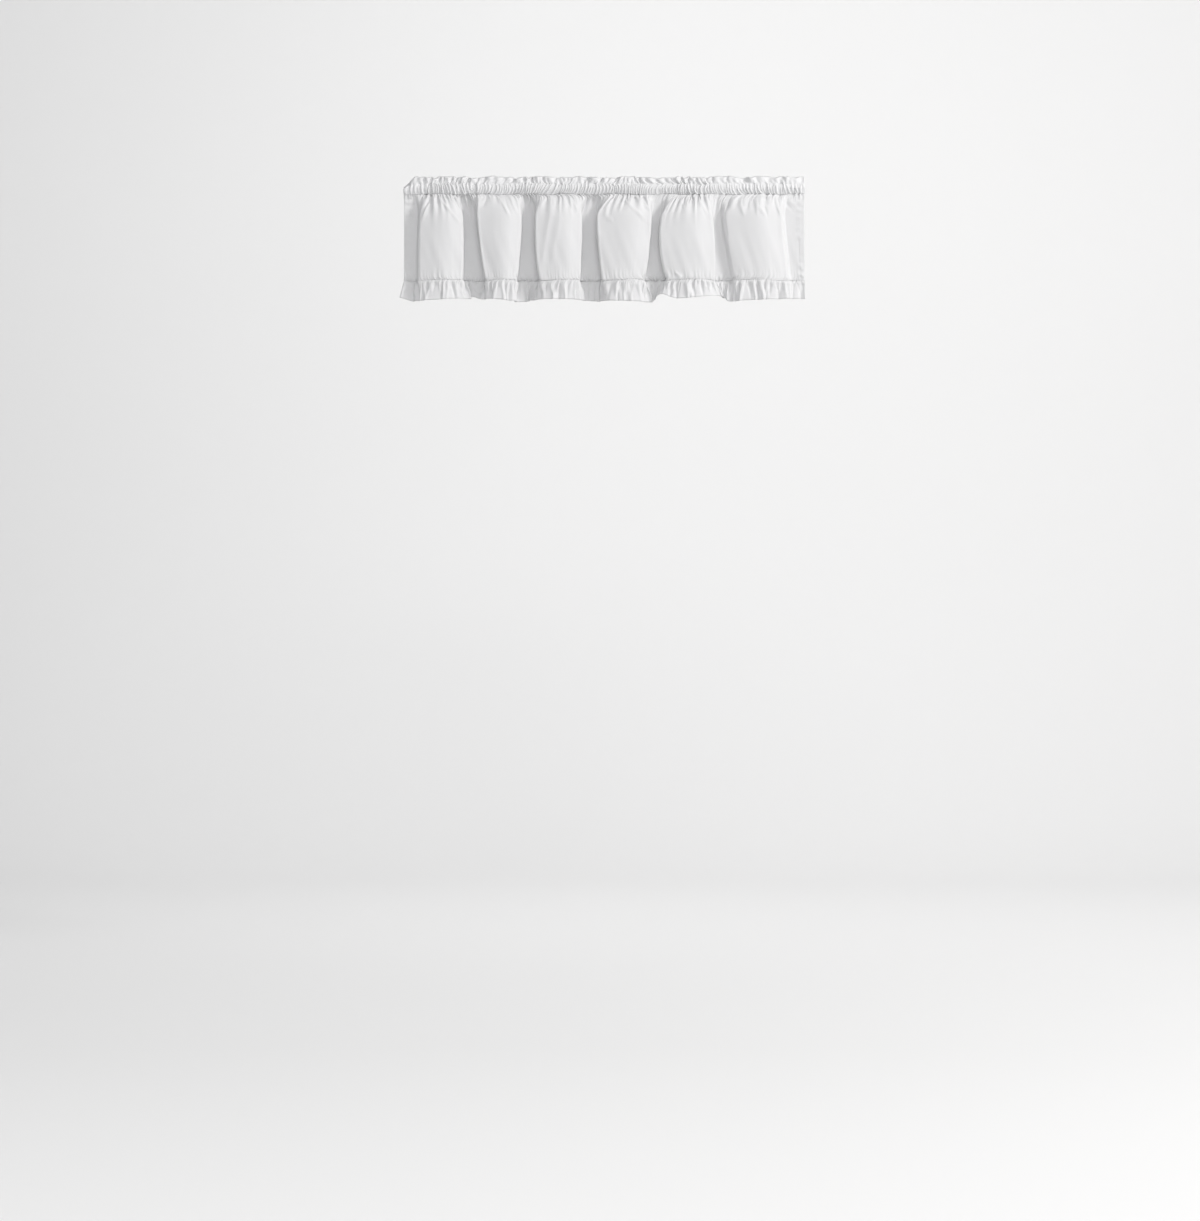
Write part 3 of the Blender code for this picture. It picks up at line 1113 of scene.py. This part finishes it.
    def _creases(self, x: np.ndarray, z: float) -> np.ndarray:
        """Add up the creases of the table along a row.

        Args:
            x: the row's places.
            z: its height.

        Returns:
            How far the creases stand out at each place.
        """
        total = np.zeros_like(x)
        for crease in CREASES:
            path = np.array(crease.path)
            lengths = np.linalg.norm(np.diff(path, axis=0), axis=1)
            nearest = np.full(len(x), np.inf)
            reached = np.zeros(len(x))
            for number, (start, length) in enumerate(zip(path, lengths)):
                along = (path[number + 1] - start) / length
                place = np.stack([x, np.full_like(x, z)], axis=1) - start
                way = place @ along
                first, last = number == 0, number == len(lengths) - 1
                kept = np.clip(way, -np.inf if first else 0.0, np.inf if last else length)
                aside = np.linalg.norm(place - kept[:, None] * along, axis=1)
                closer = aside < nearest
                nearest = np.where(closer, aside, nearest)
                reached = np.where(closer, lengths[:number].sum() + way, reached)
            share = reached / lengths.sum()
            fade_in = eased((share + self.crease_in[0]) / self.crease_in[1])
            taper = fade_in * eased((self.crease_out[0] - share) / self.crease_out[1])
            total += crease.height * taper * np.exp(-((nearest / crease.width) ** 2))
        return total

    def _hem_ripple(self, z: float) -> np.ndarray:
        """Pucker the side hems along a row.

        Args:
            z: the row's height.

        Returns:
            How far each column stands out.
        """
        drop = SIZES.lower_stitch - SIZES.seam
        down = (SIZES.lower_stitch - z) / drop
        from_left = self.spread() * self.flat
        from_edges = (from_left, self.flat - from_left)
        total = np.zeros(self.columns)
        for gathers, width, aside in zip(self.pucker_gathers, self.side_hem, from_edges):
            wave = gathers.wave(drop, self.samples)
            ripple = np.interp(down, np.linspace(0, 1, len(wave)), wave) / (UNIT_WAVE * gathers.pitch)
            across = np.exp(-(((aside - self.pucker_middle * width) / (self.pucker_spread * width)) ** 2))
            groove = np.exp(-(((aside - width) / self.groove[0]) ** 2))
            total += self.pucker * ripple * across * eased(down / self.pucker_from) - self.groove[1] * groove
        return total

    def _lay_row(self, z: float, waves: Sequence[np.ndarray]) -> tuple[np.ndarray, np.ndarray, np.ndarray]:
        """Lay out one row of the cloth.

        Args:
            z: the row's height.
            waves: the gathers at the stitching, below it, at the seam and above it.

        Returns:
            Where its points start and its line at large, both (columns, 2), and its threads' lengths.
        """
        line = self.line(z, self.spread())
        uneven = self.uneven.at(line[:, 0] + self.uneven_slant * z) * (1 + math.sin(self.uneven_swell * z))
        side = outward(line)
        front = np.clip(-side[:, 1], 0.0, 1.0) ** 3
        relief = self._creases(line[:, 0], z) * front + self._hem_ripple(z) + uneven
        line = line + side * relief[:, None]
        down, up = SIZES.lower_stitch - z, z - SIZES.seam
        spacing = np.linalg.norm(np.diff(line, axis=0), axis=1)
        facing = np.clip(np.diff(line[:, 0]) / spacing, 0.0, 1.0) ** 2
        near_top = math.exp(-((down / self.whole_above) ** 2)) * facing
        near_seam = self.eased_in * math.exp(-((up / self.eased_reach) ** 2)) * facing
        threads = spacing + np.maximum(self.step - spacing, 0.0) * near_top + spacing * near_seam
        top, fan, seam, foot = waves
        if down < up:
            small, broad, tight = top, fan, math.exp(-((down / self.tight_reach[0]) ** 2))
        else:
            small, broad, tight = seam, foot, math.exp(-((up / self.tight_reach[1]) ** 2))
        wave = small * tight + broad * math.sqrt(1 - tight**2)
        full = np.concatenate([threads[:1], 0.5 * (threads[1:] + threads[:-1]), threads[-1:]])
        return gathered(line, wave, full), line, threads

    def lay_out(self) -> tuple[np.ndarray, np.ndarray, np.ndarray]:
        """Lay the cloth out as it hangs, with its gathers started.

        Returns:
            Where the points start, the shape at large, and the lengths of the threads along each row.
        """
        heights = self._heights()
        waves = self.waves(self.top_gathers, self.fan_gathers, self.seam_gathers, self.foot_gathers)
        shape = np.zeros((len(heights), self.columns, 3))
        start = np.zeros_like(shape)
        threads = np.zeros((len(heights), self.columns - 1))
        for row, z in enumerate(heights):
            start[row, :, :2], shape[row, :, :2], threads[row] = self._lay_row(z, waves)
            shape[row, :, 2] = start[row, :, 2] = z
        top_stray, seam_stray = LOWER_STITCH_STRAY.at(shape[0, :, 0]), SEAM_STRAY.at(shape[-1, :, 0])
        for row, z in enumerate(heights):
            lift = top_stray * math.exp(-(SIZES.lower_stitch - z) / self.stray_reach)
            lift += seam_stray * math.exp(-(z - SIZES.seam) / self.stray_reach)
            shape[row, :, 2] += lift
            start[row, :, 2] += lift
        for row, wave, flat in ((0, waves[0], self.flat), (-1, waves[2], float(threads[-1].sum()))):
            start[row, :, :2] = sewn_line(self.line(heights[row], self.spread()), wave, flat)
        threads[0] = self.step
        return start, shape, threads

    def settle(self) -> None:
        """Settle the cloth between the stitching and the seam."""
        start, shape, threads = self.lay_out()
        heights = shape[:, 0, 2]
        below, above = self.firm_from
        near = np.minimum((SIZES.lower_stitch - heights) / below, (heights - SIZES.seam) / above)
        firm = self.firm[0] + self.firm[1] * eased(near)
        last = len(start) - 1
        self.points = Settler(start, shape, threads, held=(0, last), firm=firm).settle(detail().value)

    def stitching(self, thread: ThreadFinish) -> Stitching:
        """Sew the side hems, and the line that holds the ruffle.

        Args:
            thread: the thread's finish.

        Returns:
            The stitching.
        """
        seams = Stitching(thread)
        for width, first in zip(self.side_hem, (0, self.columns - 1)):
            column = abs(first - round((width - self.stitch_inset) / self.flat * (self.columns - 1)))
            for face in (FRONT, BACK):
                seams.sew(self.points[:, column], HEM_FACE, face)
        seams.sew(self.points[-2], SINGLE_FACE)
        return seams

    def build(self) -> bpy.types.Object:
        """Make the piece, and hide the solid part that it stands for.

        Returns:
            The panel.
        """
        from_left = np.tile(self.spread() * self.flat, (len(self.points), 1))
        hems = (from_left < self.side_hem[0]) | (self.flat - from_left < self.side_hem[1])
        piece = self.mesh_object("hanging_panel", hems)
        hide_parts("panel")
        return piece


class Layer(Enum):
    """Parts of the heading's folded-over sheet, from the front's lower stitching round to the back's lip."""

    POCKET_FRONT = "pocket_front"
    FRILL_FRONT = "frill_front"
    FRILL_BACK = "frill_back"
    POCKET_BACK = "pocket_back"
    LIP = "lip"

    @property
    def side(self) -> int:
        """-1 towards the room, 1 towards the window."""
        return -1 if self in (Layer.POCKET_FRONT, Layer.FRILL_FRONT) else 1

    @property
    def in_frill(self) -> bool:
        """Whether it is above the upper stitching."""
        return self in (Layer.FRILL_FRONT, Layer.FRILL_BACK)


@dataclass
class Heading(Sheet):
    """The folded-over top edge: the rod pocket between two lines of stitching, and the frill above it."""

    pocket_rows: int = 15
    frill_rows: int = 9
    lip_rows: int = 3
    lip: float = 0.0045
    belly: float = 0.0050
    belly_rise: float = 1.4  # above 1, the pocket is fullest above its middle
    rod_room: float = 0.72  # the walls stay outside this share of the belly
    rod_gap: float = 0.0002
    pocket_full: float = 0.10  # how much fuller than its stitching the pocket is at its middle
    frill_full: float = 0.05  # and the frill at the top
    frill_puff: float = 0.0022
    frill_softening: int = 3  # times that the frill's rows are evened out
    scallop: float = 0.0012  # how far its top edge dips where it curls forward
    lean_back: float = 0.24  # radians
    lean: Wander = Wander(44, 0.035, 0.16)
    end_turn: float = 1.25  # radians by which the frill's left end falls back
    end_length: float = 0.026
    end_drop: float = 0.020
    end_power: float = 1.3
    crease_along: float = 0.06
    firm: float = 0.01
    middle_gathers: Gathers = Gathers(0.0092, 12, 0.75, 0.60)
    upper_gathers: Gathers = Gathers(0.0112, 13, 0.70, 0.45)
    curl_gathers: Gathers = Gathers(0.0190, 14, 0.50, 0.5)
    frill_gathers: Gathers = Gathers(0.0290, 15, 0.50, 0.50)
    frill_fade: Crossfade = Crossfade(fade=0.20, middle=0.4, spread=0.08, middle_share=0.8, edge_share=0.9)

    @property
    def stitched_rows(self) -> tuple[int, int, int, int]:
        """The sewn rows: lower and upper stitching on the front, then upper and lower on the back."""
        top = self.pocket_rows + 2 * self.frill_rows
        return 0, self.pocket_rows, top, top + self.pocket_rows

    def _stations(self) -> list[tuple[Layer, float]]:
        """Space the rows.

        Returns:
            The layer and the height of each.
        """
        rows: list[tuple[Layer, float]] = []
        runs = (
            (Layer.POCKET_FRONT, SIZES.lower_stitch, SIZES.upper_stitch, self.pocket_rows),
            (Layer.FRILL_FRONT, SIZES.upper_stitch, SIZES.frill_top, self.frill_rows),
            (Layer.FRILL_BACK, SIZES.frill_top, SIZES.upper_stitch, self.frill_rows),
            (Layer.POCKET_BACK, SIZES.upper_stitch, SIZES.lower_stitch, self.pocket_rows),
            (Layer.LIP, SIZES.lower_stitch, SIZES.lower_stitch - self.lip, self.lip_rows),
        )
        for layer, begin, end, count in runs:
            rows += [(layer, begin + (end - begin) * step / count) for step in range(count)]
        return rows

    @staticmethod
    def _up_pocket(z: float) -> float:
        """Share of the way up the pocket at a height."""
        return (z - SIZES.lower_stitch) / (SIZES.upper_stitch - SIZES.lower_stitch)

    @staticmethod
    def _up_frill(z: float) -> float:
        """Share of the way up the frill at a height."""
        return (z - SIZES.upper_stitch) / (SIZES.frill_top - SIZES.upper_stitch)

    def _belly(self, z: float) -> float:
        """How far the pocket stands out from the middle at a height."""
        return self.belly * math.sin(math.pi * min(1.0, max(0.0, self._up_pocket(z))) ** self.belly_rise)

    def _fullness(self, layer: Layer, z: float) -> float:
        """Say how full a row is.

        Args:
            layer: the row's layer.
            z: its height.

        Returns:
            Its flat length, against its stitching's.
        """
        if layer.in_frill:
            return 1 + self.frill_full * self._up_frill(z)
        if layer is Layer.LIP:
            return 1.0
        return 1 + self.pocket_full * math.sin(math.pi * self._up_pocket(z))

    def lay_out(self, panel_top: np.ndarray, panel: Panel) -> tuple[np.ndarray, np.ndarray]:
        """Lay the heading out, sewn to the panel's top edge.

        Args:
            panel_top: (columns, 3), the panel's gathered top edge.
            panel: the panel, for its gathers.

        Returns:
            Where the points start, and the shape at large.
        """
        stations = self._stations()
        lower, middle, upper, curl, frill = self.waves(
            panel.top_gathers, self.middle_gathers, self.upper_gathers, self.curl_gathers, self.frill_gathers
        )
        x = np.interp(self.spread(), panel.shares, panel.rod_place)
        straight = np.stack([x, np.zeros_like(x)], axis=1)
        shape = np.zeros((len(stations), self.columns, 3))
        start = np.zeros_like(shape)
        for row, (layer, z) in enumerate(stations):
            share = self._up_pocket(z)
            near, far, way = (lower, middle, 2 * share) if share < 0.5 else (middle, upper, 2 * share - 1)
            turn = 0.5 * math.pi * eased(way)
            wave = near * math.cos(turn) + far * math.sin(turn)
            off = SIZES.ply / 2 + self._belly(z)
            level = z + (LOWER_STITCH_STRAY if z < 0 else UPPER_STITCH_STRAY).at(x)
            if layer.in_frill:
                up = self._up_frill(z)
                off += self.frill_puff * math.sin(0.5 * math.pi * up)
                wave = self.frill_fade.blend(up, (wave, curl, frill))
                level = level - up * self.scallop * (wave / wave.std() + 1)
            shape[row] = np.stack([x, np.full_like(x, layer.side * off), level], axis=1)
            start[row] = shape[row]
            start[row, :, :2] += gathered(straight, wave, self.step * self._fullness(layer, z)) - straight
        lower_edge, upper_edge = panel_top[:, :2], sewn_line(straight, upper, self.flat)
        back = np.array([0.0, SIZES.ply])
        edges = (lower_edge, upper_edge - back / 2, upper_edge + back / 2, lower_edge + 2 * back)
        for row, edge in zip(self.stitched_rows, edges):
            start[row, :, :2] = edge
        start[0] = panel_top
        start[self.stitched_rows[-1], :, 2] = panel_top[:, 2]
        return start, shape

    def _room_for_rod(self, points: np.ndarray) -> None:
        """Keep the pocket's walls off the rod, and the frill's two layers off each other.

        Args:
            points: (rows, columns, 3), moved in place.
        """
        for row, (layer, z) in enumerate(self._stations()):
            wall = self.rod_room * self._belly(z) + self.rod_gap
            if layer is Layer.POCKET_FRONT:
                np.minimum(points[row, :, 1], -wall, out=points[row, :, 1])
            elif layer is Layer.POCKET_BACK:
                np.maximum(points[row, :, 1], wall, out=points[row, :, 1])
        top = self.pocket_rows + self.frill_rows
        for step in range(1, self.frill_rows):
            front, back = points[top - step], points[top + step]
            push = 0.5 * np.minimum(back[:, 1] - front[:, 1] - 2 * SIZES.ply, 0.0)
            front[:, 1] += push
            back[:, 1] -= push

    def _lean(self) -> None:
        """Let the frill lean unevenly, and the heading's free left end fall back and down."""
        place = self.spread() * SIZES.width
        share = np.clip(1 - place / self.end_length, 0.0, 1.0)
        lean = self.lean_back + self.lean.at(place)
        turn = self.end_turn * eased(share) + (1 - eased(share)) * lean
        top = SIZES.frill_top - SIZES.lower_stitch
        for row, (layer, _) in enumerate(self._stations()):
            if layer.in_frill:
                rise = self.points[row, :, 2] - SIZES.upper_stitch
                self.points[row, :, 1] += rise * np.sin(turn)
                self.points[row, :, 2] -= rise * (1 - np.cos(turn))
            height = np.maximum(self.points[row, :, 2] - SIZES.lower_stitch, 0.0)
            self.points[row, :, 2] -= self.end_drop * share**self.end_power * height / top

    def settle(self, panel_top: np.ndarray, panel: Panel) -> None:
        """Settle the heading between its lines of stitching.

        Args:
            panel_top: (columns, 3), the panel's gathered top edge.
            panel: the panel, for its gathers.
        """
        start, shape = self.lay_out(panel_top, panel)
        fullness = np.array([self._fullness(*row) for row in self._stations()])
        settler = Settler(
            start,
            shape,
            self.even_threads(len(start)) * fullness[:, None],
            held=self.stitched_rows,
            crease_along=self.crease_along,
            firm=self.firm,
            keeping=0.0,
            limit=self._room_for_rod,
        )
        self.points = settler.settle(detail().value)
        frill = self.points[self.stitched_rows[1] + 1 : self.stitched_rows[2]]
        for _ in range(self.frill_softening):
            frill[:, 1:-1] = 0.25 * (frill[:, 2:] + frill[:, :-2]) + 0.5 * frill[:, 1:-1]
        self._lean()

    def stitching(self, thread: ThreadFinish) -> Stitching:
        """Sew the two lines along the pocket, which show on the front and on the back.

        Args:
            thread: the thread's finish.

        Returns:
            The stitching.
        """
        seams = Stitching(thread)
        for row, face in zip(self.stitched_rows, (FRONT, FRONT, BACK, BACK)):
            seams.sew(self.points[row], SINGLE_FACE, face)
        return seams

    def build(self) -> bpy.types.Object:
        """Make the piece, and hide the solid part that it stands for.

        Returns:
            The heading.
        """
        piece = self.mesh_object("gathered_heading", np.zeros(self.points.shape[:2]))
        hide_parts("heading")
        return piece


@dataclass
class Ruffle(Sheet):
    """The strip gathered onto the panel's lower edge, with its raw edge turned up behind the seam."""

    columns: int = 1500
    flat: float = 1.62
    fall_rows: int = 20
    fall_spacing: Pair = (0.6, 1.5)  # of the rows at the seam and at the hem, against their average
    allowance: float = 0.0075
    allowance_rows: int = 3
    allowance_slant: float = 0.16
    hem: float = 0.007
    puff: float = 0.0024  # how far the ruffle springs forward below its seam
    puff_at: float = 0.11  # in shares of the way down, as in the next two
    tuck: float = 0.0005  # how far the seam's gathers stand behind the panel
    tuck_reach: float = 0.02
    behind: float = 0.0008  # least gap from the ruffle's line at the seam to the raw edge, behind it
    draw_in: float = 0.10  # how much less of its flat width the hem takes up
    flute_lean: Wander = Wander(45, 0.030, 0.0022)  # how the flutes stray to either side
    recess_fullness: float = 0.86  # against that of the fronts of the billows
    recess_edge: Pair = (0.004, 0.020)  # y at which it starts to change, and the depth over which it does
    seam_samples: int = 600
    hang_reach: int = 50  # columns to each side over which the hem's line rounds off the billows' corners
    hang_from: float = 1.4  # how soon on the way down it does
    crease_across: float = 0.12
    crease_along: float = 0.10
    keeping: float = 0.05
    window: int = 30
    firm: Pair = (0.02, 0.10)  # at the seam, and what it gains on the way down
    firm_reach: float = 0.4
    seam_gathers: Gathers = Gathers(0.0078, 21, 0.35, 0.3)
    flute_gathers: Gathers = Gathers(0.0205, 22, 0.45, 0.5)
    hem_gathers: Gathers = Gathers(0.0370, 23, 0.50, 0.5)
    flute_fade: Crossfade = Crossfade(fade=0.07, middle=0.35, spread=0.08, middle_share=0.9, edge_power=0.8)

    def _falls(self) -> np.ndarray:
        """Share of the way down to the hem of each row below the seam, the rows spreading as they go."""
        falls = np.concatenate([[0.0], np.cumsum(np.linspace(*self.fall_spacing, self.fall_rows - 1))])
        return falls / falls[-1]

    @staticmethod
    def _hem_line(x: np.ndarray) -> np.ndarray:
        """Read the hem's line from its table.

        Args:
            x: places along the seam.

        Returns:
            (places, 3), height, sway and kick of the hem under each.
        """
        stations = np.array(HEM_LINE)
        place = np.clip(x, stations[0, 0], stations[-1, 0])
        after = np.clip(np.searchsorted(stations[:, 0], place), 1, len(stations) - 1)
        low, high = stations[after - 1], stations[after]
        share = eased((place - low[:, 0]) / (high[:, 0] - low[:, 0]))[:, None]
        return low[:, 1:] + (high[:, 1:] - low[:, 1:]) * share

    def _seam(self, panel: Panel) -> tuple[np.ndarray, np.ndarray]:
        """Share the ruffle out along the panel's seam, with less of it in the recesses.

        Args:
            panel: the panel that it is sewn to.

        Returns:
            (columns, 2), the seam, and the rounder line in which the hem hangs.
        """
        even = np.linspace(0.0, 1.0, self.seam_samples)
        line = panel.line(SIZES.seam, even)
        front = eased((self.recess_edge[0] - line[:, 1]) / self.recess_edge[1])
        density = self.recess_fullness + (1 - self.recess_fullness) * front
        parts = 0.5 * (density[1:] + density[:-1]) * np.diff(arc_length(line))
        gathered_up = np.concatenate([[0.0], np.cumsum(parts)])
        seam = panel.line(SIZES.seam, np.interp(self.spread(), gathered_up / gathered_up[-1], even))
        reach = (self.hang_reach, self.hang_reach)
        padded = np.pad(seam, (reach, (0, 0)), mode="reflect", reflect_type="odd")
        share = np.hanning(2 * self.hang_reach + 3)[1:-1]
        share /= share.sum()
        return seam, np.stack([np.convolve(padded[:, axis], share, mode="valid") for axis in (0, 1)], axis=1)

    def lay_out(self, panel: Panel) -> tuple[np.ndarray, np.ndarray, np.ndarray]:
        """Lay the ruffle out along the panel's seam, with its gathers and flutes started.

        Args:
            panel: the panel that it is sewn to.

        Returns:
            Where the points start, the shape at large, and the lengths of the threads along each row.
        """
        seam, rounded = self._seam(panel)
        side = outward(seam)
        hem = self._hem_line(seam[:, 0])
        sway = hem[:, 1] + self.flute_lean.at(seam[:, 0])
        stray = SEAM_STRAY.at(seam[:, 0])
        waves = self.waves(self.seam_gathers, self.flute_gathers, self.hem_gathers)
        falls = np.concatenate([np.zeros(self.allowance_rows), self._falls()])
        turned_up = self.allowance * (1 - np.arange(self.allowance_rows) / self.allowance_rows)
        rises = np.concatenate([turned_up, np.zeros(self.fall_rows)])
        shape = np.zeros((len(falls), self.columns, 3))
        start = np.zeros_like(shape)
        for row, (fall, rise) in enumerate(zip(falls, rises)):
            puff = self.puff * math.exp(-(((fall - self.puff_at) / self.puff_at) ** 2))
            puff -= self.tuck * math.exp(-fall / self.tuck_reach)
            line = seam + (rounded - seam) * eased(self.hang_from * fall)
            line = line + outward(line) * (hem[:, 2] * fall + puff - self.allowance_slant * rise)[:, None]
            line[:, 0] += sway * fall
            shape[row, :, :2] = line
            flat_step = self.step * (1 - self.draw_in * eased(fall))
            start[row, :, :2] = gathered(line, self.flute_fade.blend(fall, waves), flat_step)
            level = stray * (1 - fall)
            shape[row, :, 2] = start[row, :, 2] = SIZES.seam + rise + (hem[:, 0] - SIZES.seam) * fall + level
        sewn = sewn_line(seam - side * self.tuck, waves[0], self.flat)
        over = np.maximum(((sewn - seam) * side).sum(axis=1) + SIZES.cloth, 0.0)
        start[self.allowance_rows, :, :2] = sewn - side * over[:, None]
        threads = self.even_threads(len(falls)) * (1 - self.draw_in * eased(falls))[:, None]
        return start, shape, threads

    def settle(self, panel: Panel) -> None:
        """Settle the ruffle below its seam.

        Args:
            panel: the panel that it is sewn to.
        """
        start, shape, threads = self.lay_out(panel)
        line = shape[self.allowance_rows, :, :2].astype(np.float32)
        side = outward(line)

        def stay_behind(points: np.ndarray) -> None:
            """Keep the raw edge behind the panel.

            Args:
                points: (rows, columns, 3), moved in place.
            """
            for row in range(self.allowance_rows):
                over = np.maximum(((points[row, :, :2] - line) * side).sum(axis=1) + self.behind, 0.0)
                points[row, :, :2] -= side * over[:, None]

        hanging = self.firm[0] + self.firm[1] * eased(self._falls() / self.firm_reach)
        settler = Settler(
            start,
            shape,
            threads,
            held=(self.allowance_rows,),
            crease_across=self.crease_across,
            crease_along=self.crease_along,
            keeping=self.keeping,
            window=self.window,
            firm=np.concatenate([np.full(self.allowance_rows, self.firm[0]), hanging]),
            limit=stay_behind,
        )
        self.points = settler.settle(detail().value)

    def hem_row(self) -> int:
        """The first row of the hem."""
        lengths = np.linalg.norm(np.diff(self.points, axis=0), axis=2).mean(axis=1)
        return int(np.flatnonzero(lengths[::-1].cumsum()[::-1] < self.hem)[0])

    def stitching(self, thread: ThreadFinish) -> Stitching:
        """Sew the hem.

        Args:
            thread: the thread's finish.

        Returns:
            The stitching.
        """
        seams = Stitching(thread)
        for face in (FRONT, BACK):
            seams.sew(self.points[self.hem_row() + 1], HEM_FACE, face)
        return seams

    def build(self) -> bpy.types.Object:
        """Make the piece, and hide the solid part that it stands for.

        Returns:
            The ruffle.
        """
        hems = np.zeros(self.points.shape[:2])
        hems[self.hem_row() :] = 1.0
        from_end = np.minimum(self.spread(), 1 - self.spread()) * self.flat
        hems[:, from_end < self.hem] = 1.0
        piece = self.mesh_object("gathered_ruffle", hems)
        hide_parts("ruffle")
        return piece


# ---------------------------------------------------------------- studio


@dataclass(frozen=True)
class Lamp:
    """A soft round lamp, which the camera doesn't see."""

    name: str
    place: Place
    size: float
    power: float
    tint: Place = (1.0, 1.0, 1.0)
    aim: Place = (0.0, 0.0, -0.13)

    def hang(self) -> None:
        """Hang the lamp in the studio."""
        data = bpy.data.lights.new(self.name, "AREA")
        data.shape = "DISK"
        data.size = self.size
        data.energy = self.power
        data.color = self.tint
        lamp = placed(self.name, data)
        lamp.location = self.place
        lamp.visible_camera = False
        lamp.rotation_euler = (Vector(self.aim) - Vector(self.place)).to_track_quat("-Z", "Y").to_euler()


@dataclass
class Studio:
    """A pale floor that sweeps up behind the valance, a far wall at each end, soft light and the camera."""

    floor_height: float = -2.10
    sweep_from: float = 3.0
    sweep_radius: float = 2.6
    sweep_steps: int = 16
    sweep_top: float = 12.0
    half_width: float = 36.0
    near_edge: float = -45.0
    paper: Place = (0.80, 0.80, 0.80)
    paper_roughness: float = 0.9
    air: Place = (0.985, 0.99, 1.0)
    air_strength: float = 0.30
    lamps: tuple[Lamp, ...] = (
        Lamp("key", (6.5, -3.9, 4.0), 2.2, 600.0, (1.0, 0.99, 0.98)),
        Lamp("front", (0.8, -9.0, 3.4), 4.0, 305.0),
        Lamp("fill", (-6.8, -3.9, 1.6), 2.6, 60.0, (0.98, 0.99, 1.0)),
        Lamp("backdrop", (0.0, 1.4, 1.9), 2.4, 45.0, aim=(0.0, 4.8, -0.6)),
    )
    frame_height: float = 3.238  # what the camera takes in at the valance
    camera_place: Place = (-0.011, -8.5, -1.119)
    sensor: float = 36.0

    def floor(self) -> None:
        """Make the floor, its sweep and its end walls."""
        profile = [(self.near_edge, self.floor_height), (self.sweep_from, self.floor_height)]
        for step in range(1, self.sweep_steps + 1):
            turn = 0.5 * math.pi * step / self.sweep_steps
            ahead, up = self.sweep_radius * math.sin(turn), self.sweep_radius * (1 - math.cos(turn))
            profile.append((self.sweep_from + ahead, self.floor_height + up))
        profile.append((profile[-1][0], self.sweep_top))
        points = [(x, y, z) for y, z in profile for x in (-self.half_width, self.half_width)]
        faces = [(2 * i, 2 * i + 1, 2 * i + 3, 2 * i + 2) for i in range(len(profile) - 1)]
        low, high = profile[0], profile[-1]
        for x in (-self.half_width, self.half_width):
            first = len(points)
            points += [(x, y, z) for y, z in (low, (high[0], low[1]), high, (low[0], high[1]))]
            faces.append((first, first + 1, first + 2, first + 3))
        board = Board("studio_paper")
        paper = {"Base Color": (*self.paper, 1.0), "Roughness": self.paper_roughness}
        finish = board.finish(board.node("ShaderNodeBsdfPrincipled", {}, paper))
        floor = placed("studio_floor", smooth_mesh("studio_floor", points, faces, finish))

    def light(self) -> None:
        """Light the studio: even white air, and soft lamps, the strongest from the right and above."""
        world = bpy.data.worlds.new("studio_air")
        world.use_nodes = True
        air = world.node_tree.nodes["Background"].inputs
        air["Color"].default_value = (*self.air, 1.0)
        air["Strength"].default_value = self.air_strength
        bpy.context.scene.world = world
        for lamp in self.lamps:
            lamp.hang()

    def camera(self) -> None:
        """Set the camera level, in front."""
        data = bpy.data.cameras.new("camera")
        data.sensor_width = self.sensor
        data.lens = self.sensor * -self.camera_place[1] / self.frame_height
        camera = placed("camera", data)
        camera.location = self.camera_place
        camera.rotation_euler = (math.pi / 2, 0.0, 0.0)
        bpy.context.scene.camera = camera

    def build(self) -> None:
        """Set up everything around the valance."""
        self.floor()
        self.light()
        self.camera()
        bpy.context.scene.view_settings.view_transform = "Standard"


def main() -> None:
    """Build the valance and the studio."""
    logging.basicConfig(level=logging.INFO, format="%(name)s: %(message)s")
    Studio().build()
    panel = Panel(ClothFinish("white_cotton_panel"))
    panel.settle()
    # the heading lies double; its paler finish is partly painted light on its shaded gathers
    heading = Heading(ClothFinish("white_cotton_heading").doubled(), panel.columns, panel.flat)
    heading.settle(panel.points[0], panel)
    ruffle = Ruffle(ClothFinish("white_cotton_ruffle"))
    ruffle.settle(panel)
    thread = ThreadFinish("white_thread")
    for sheet, name in (
        (panel, "panel_stitching"),
        (heading, "heading_stitching"),
        (ruffle, "ruffle_stitching"),
    ):
        piece = sheet.build()
        seams = sheet.stitching(thread).build(name)
        for made in (piece, seams):
            LOG.info("%s: %d faces", made.name, len(made.data.polygons))


if __name__ == "__main__":
    main()
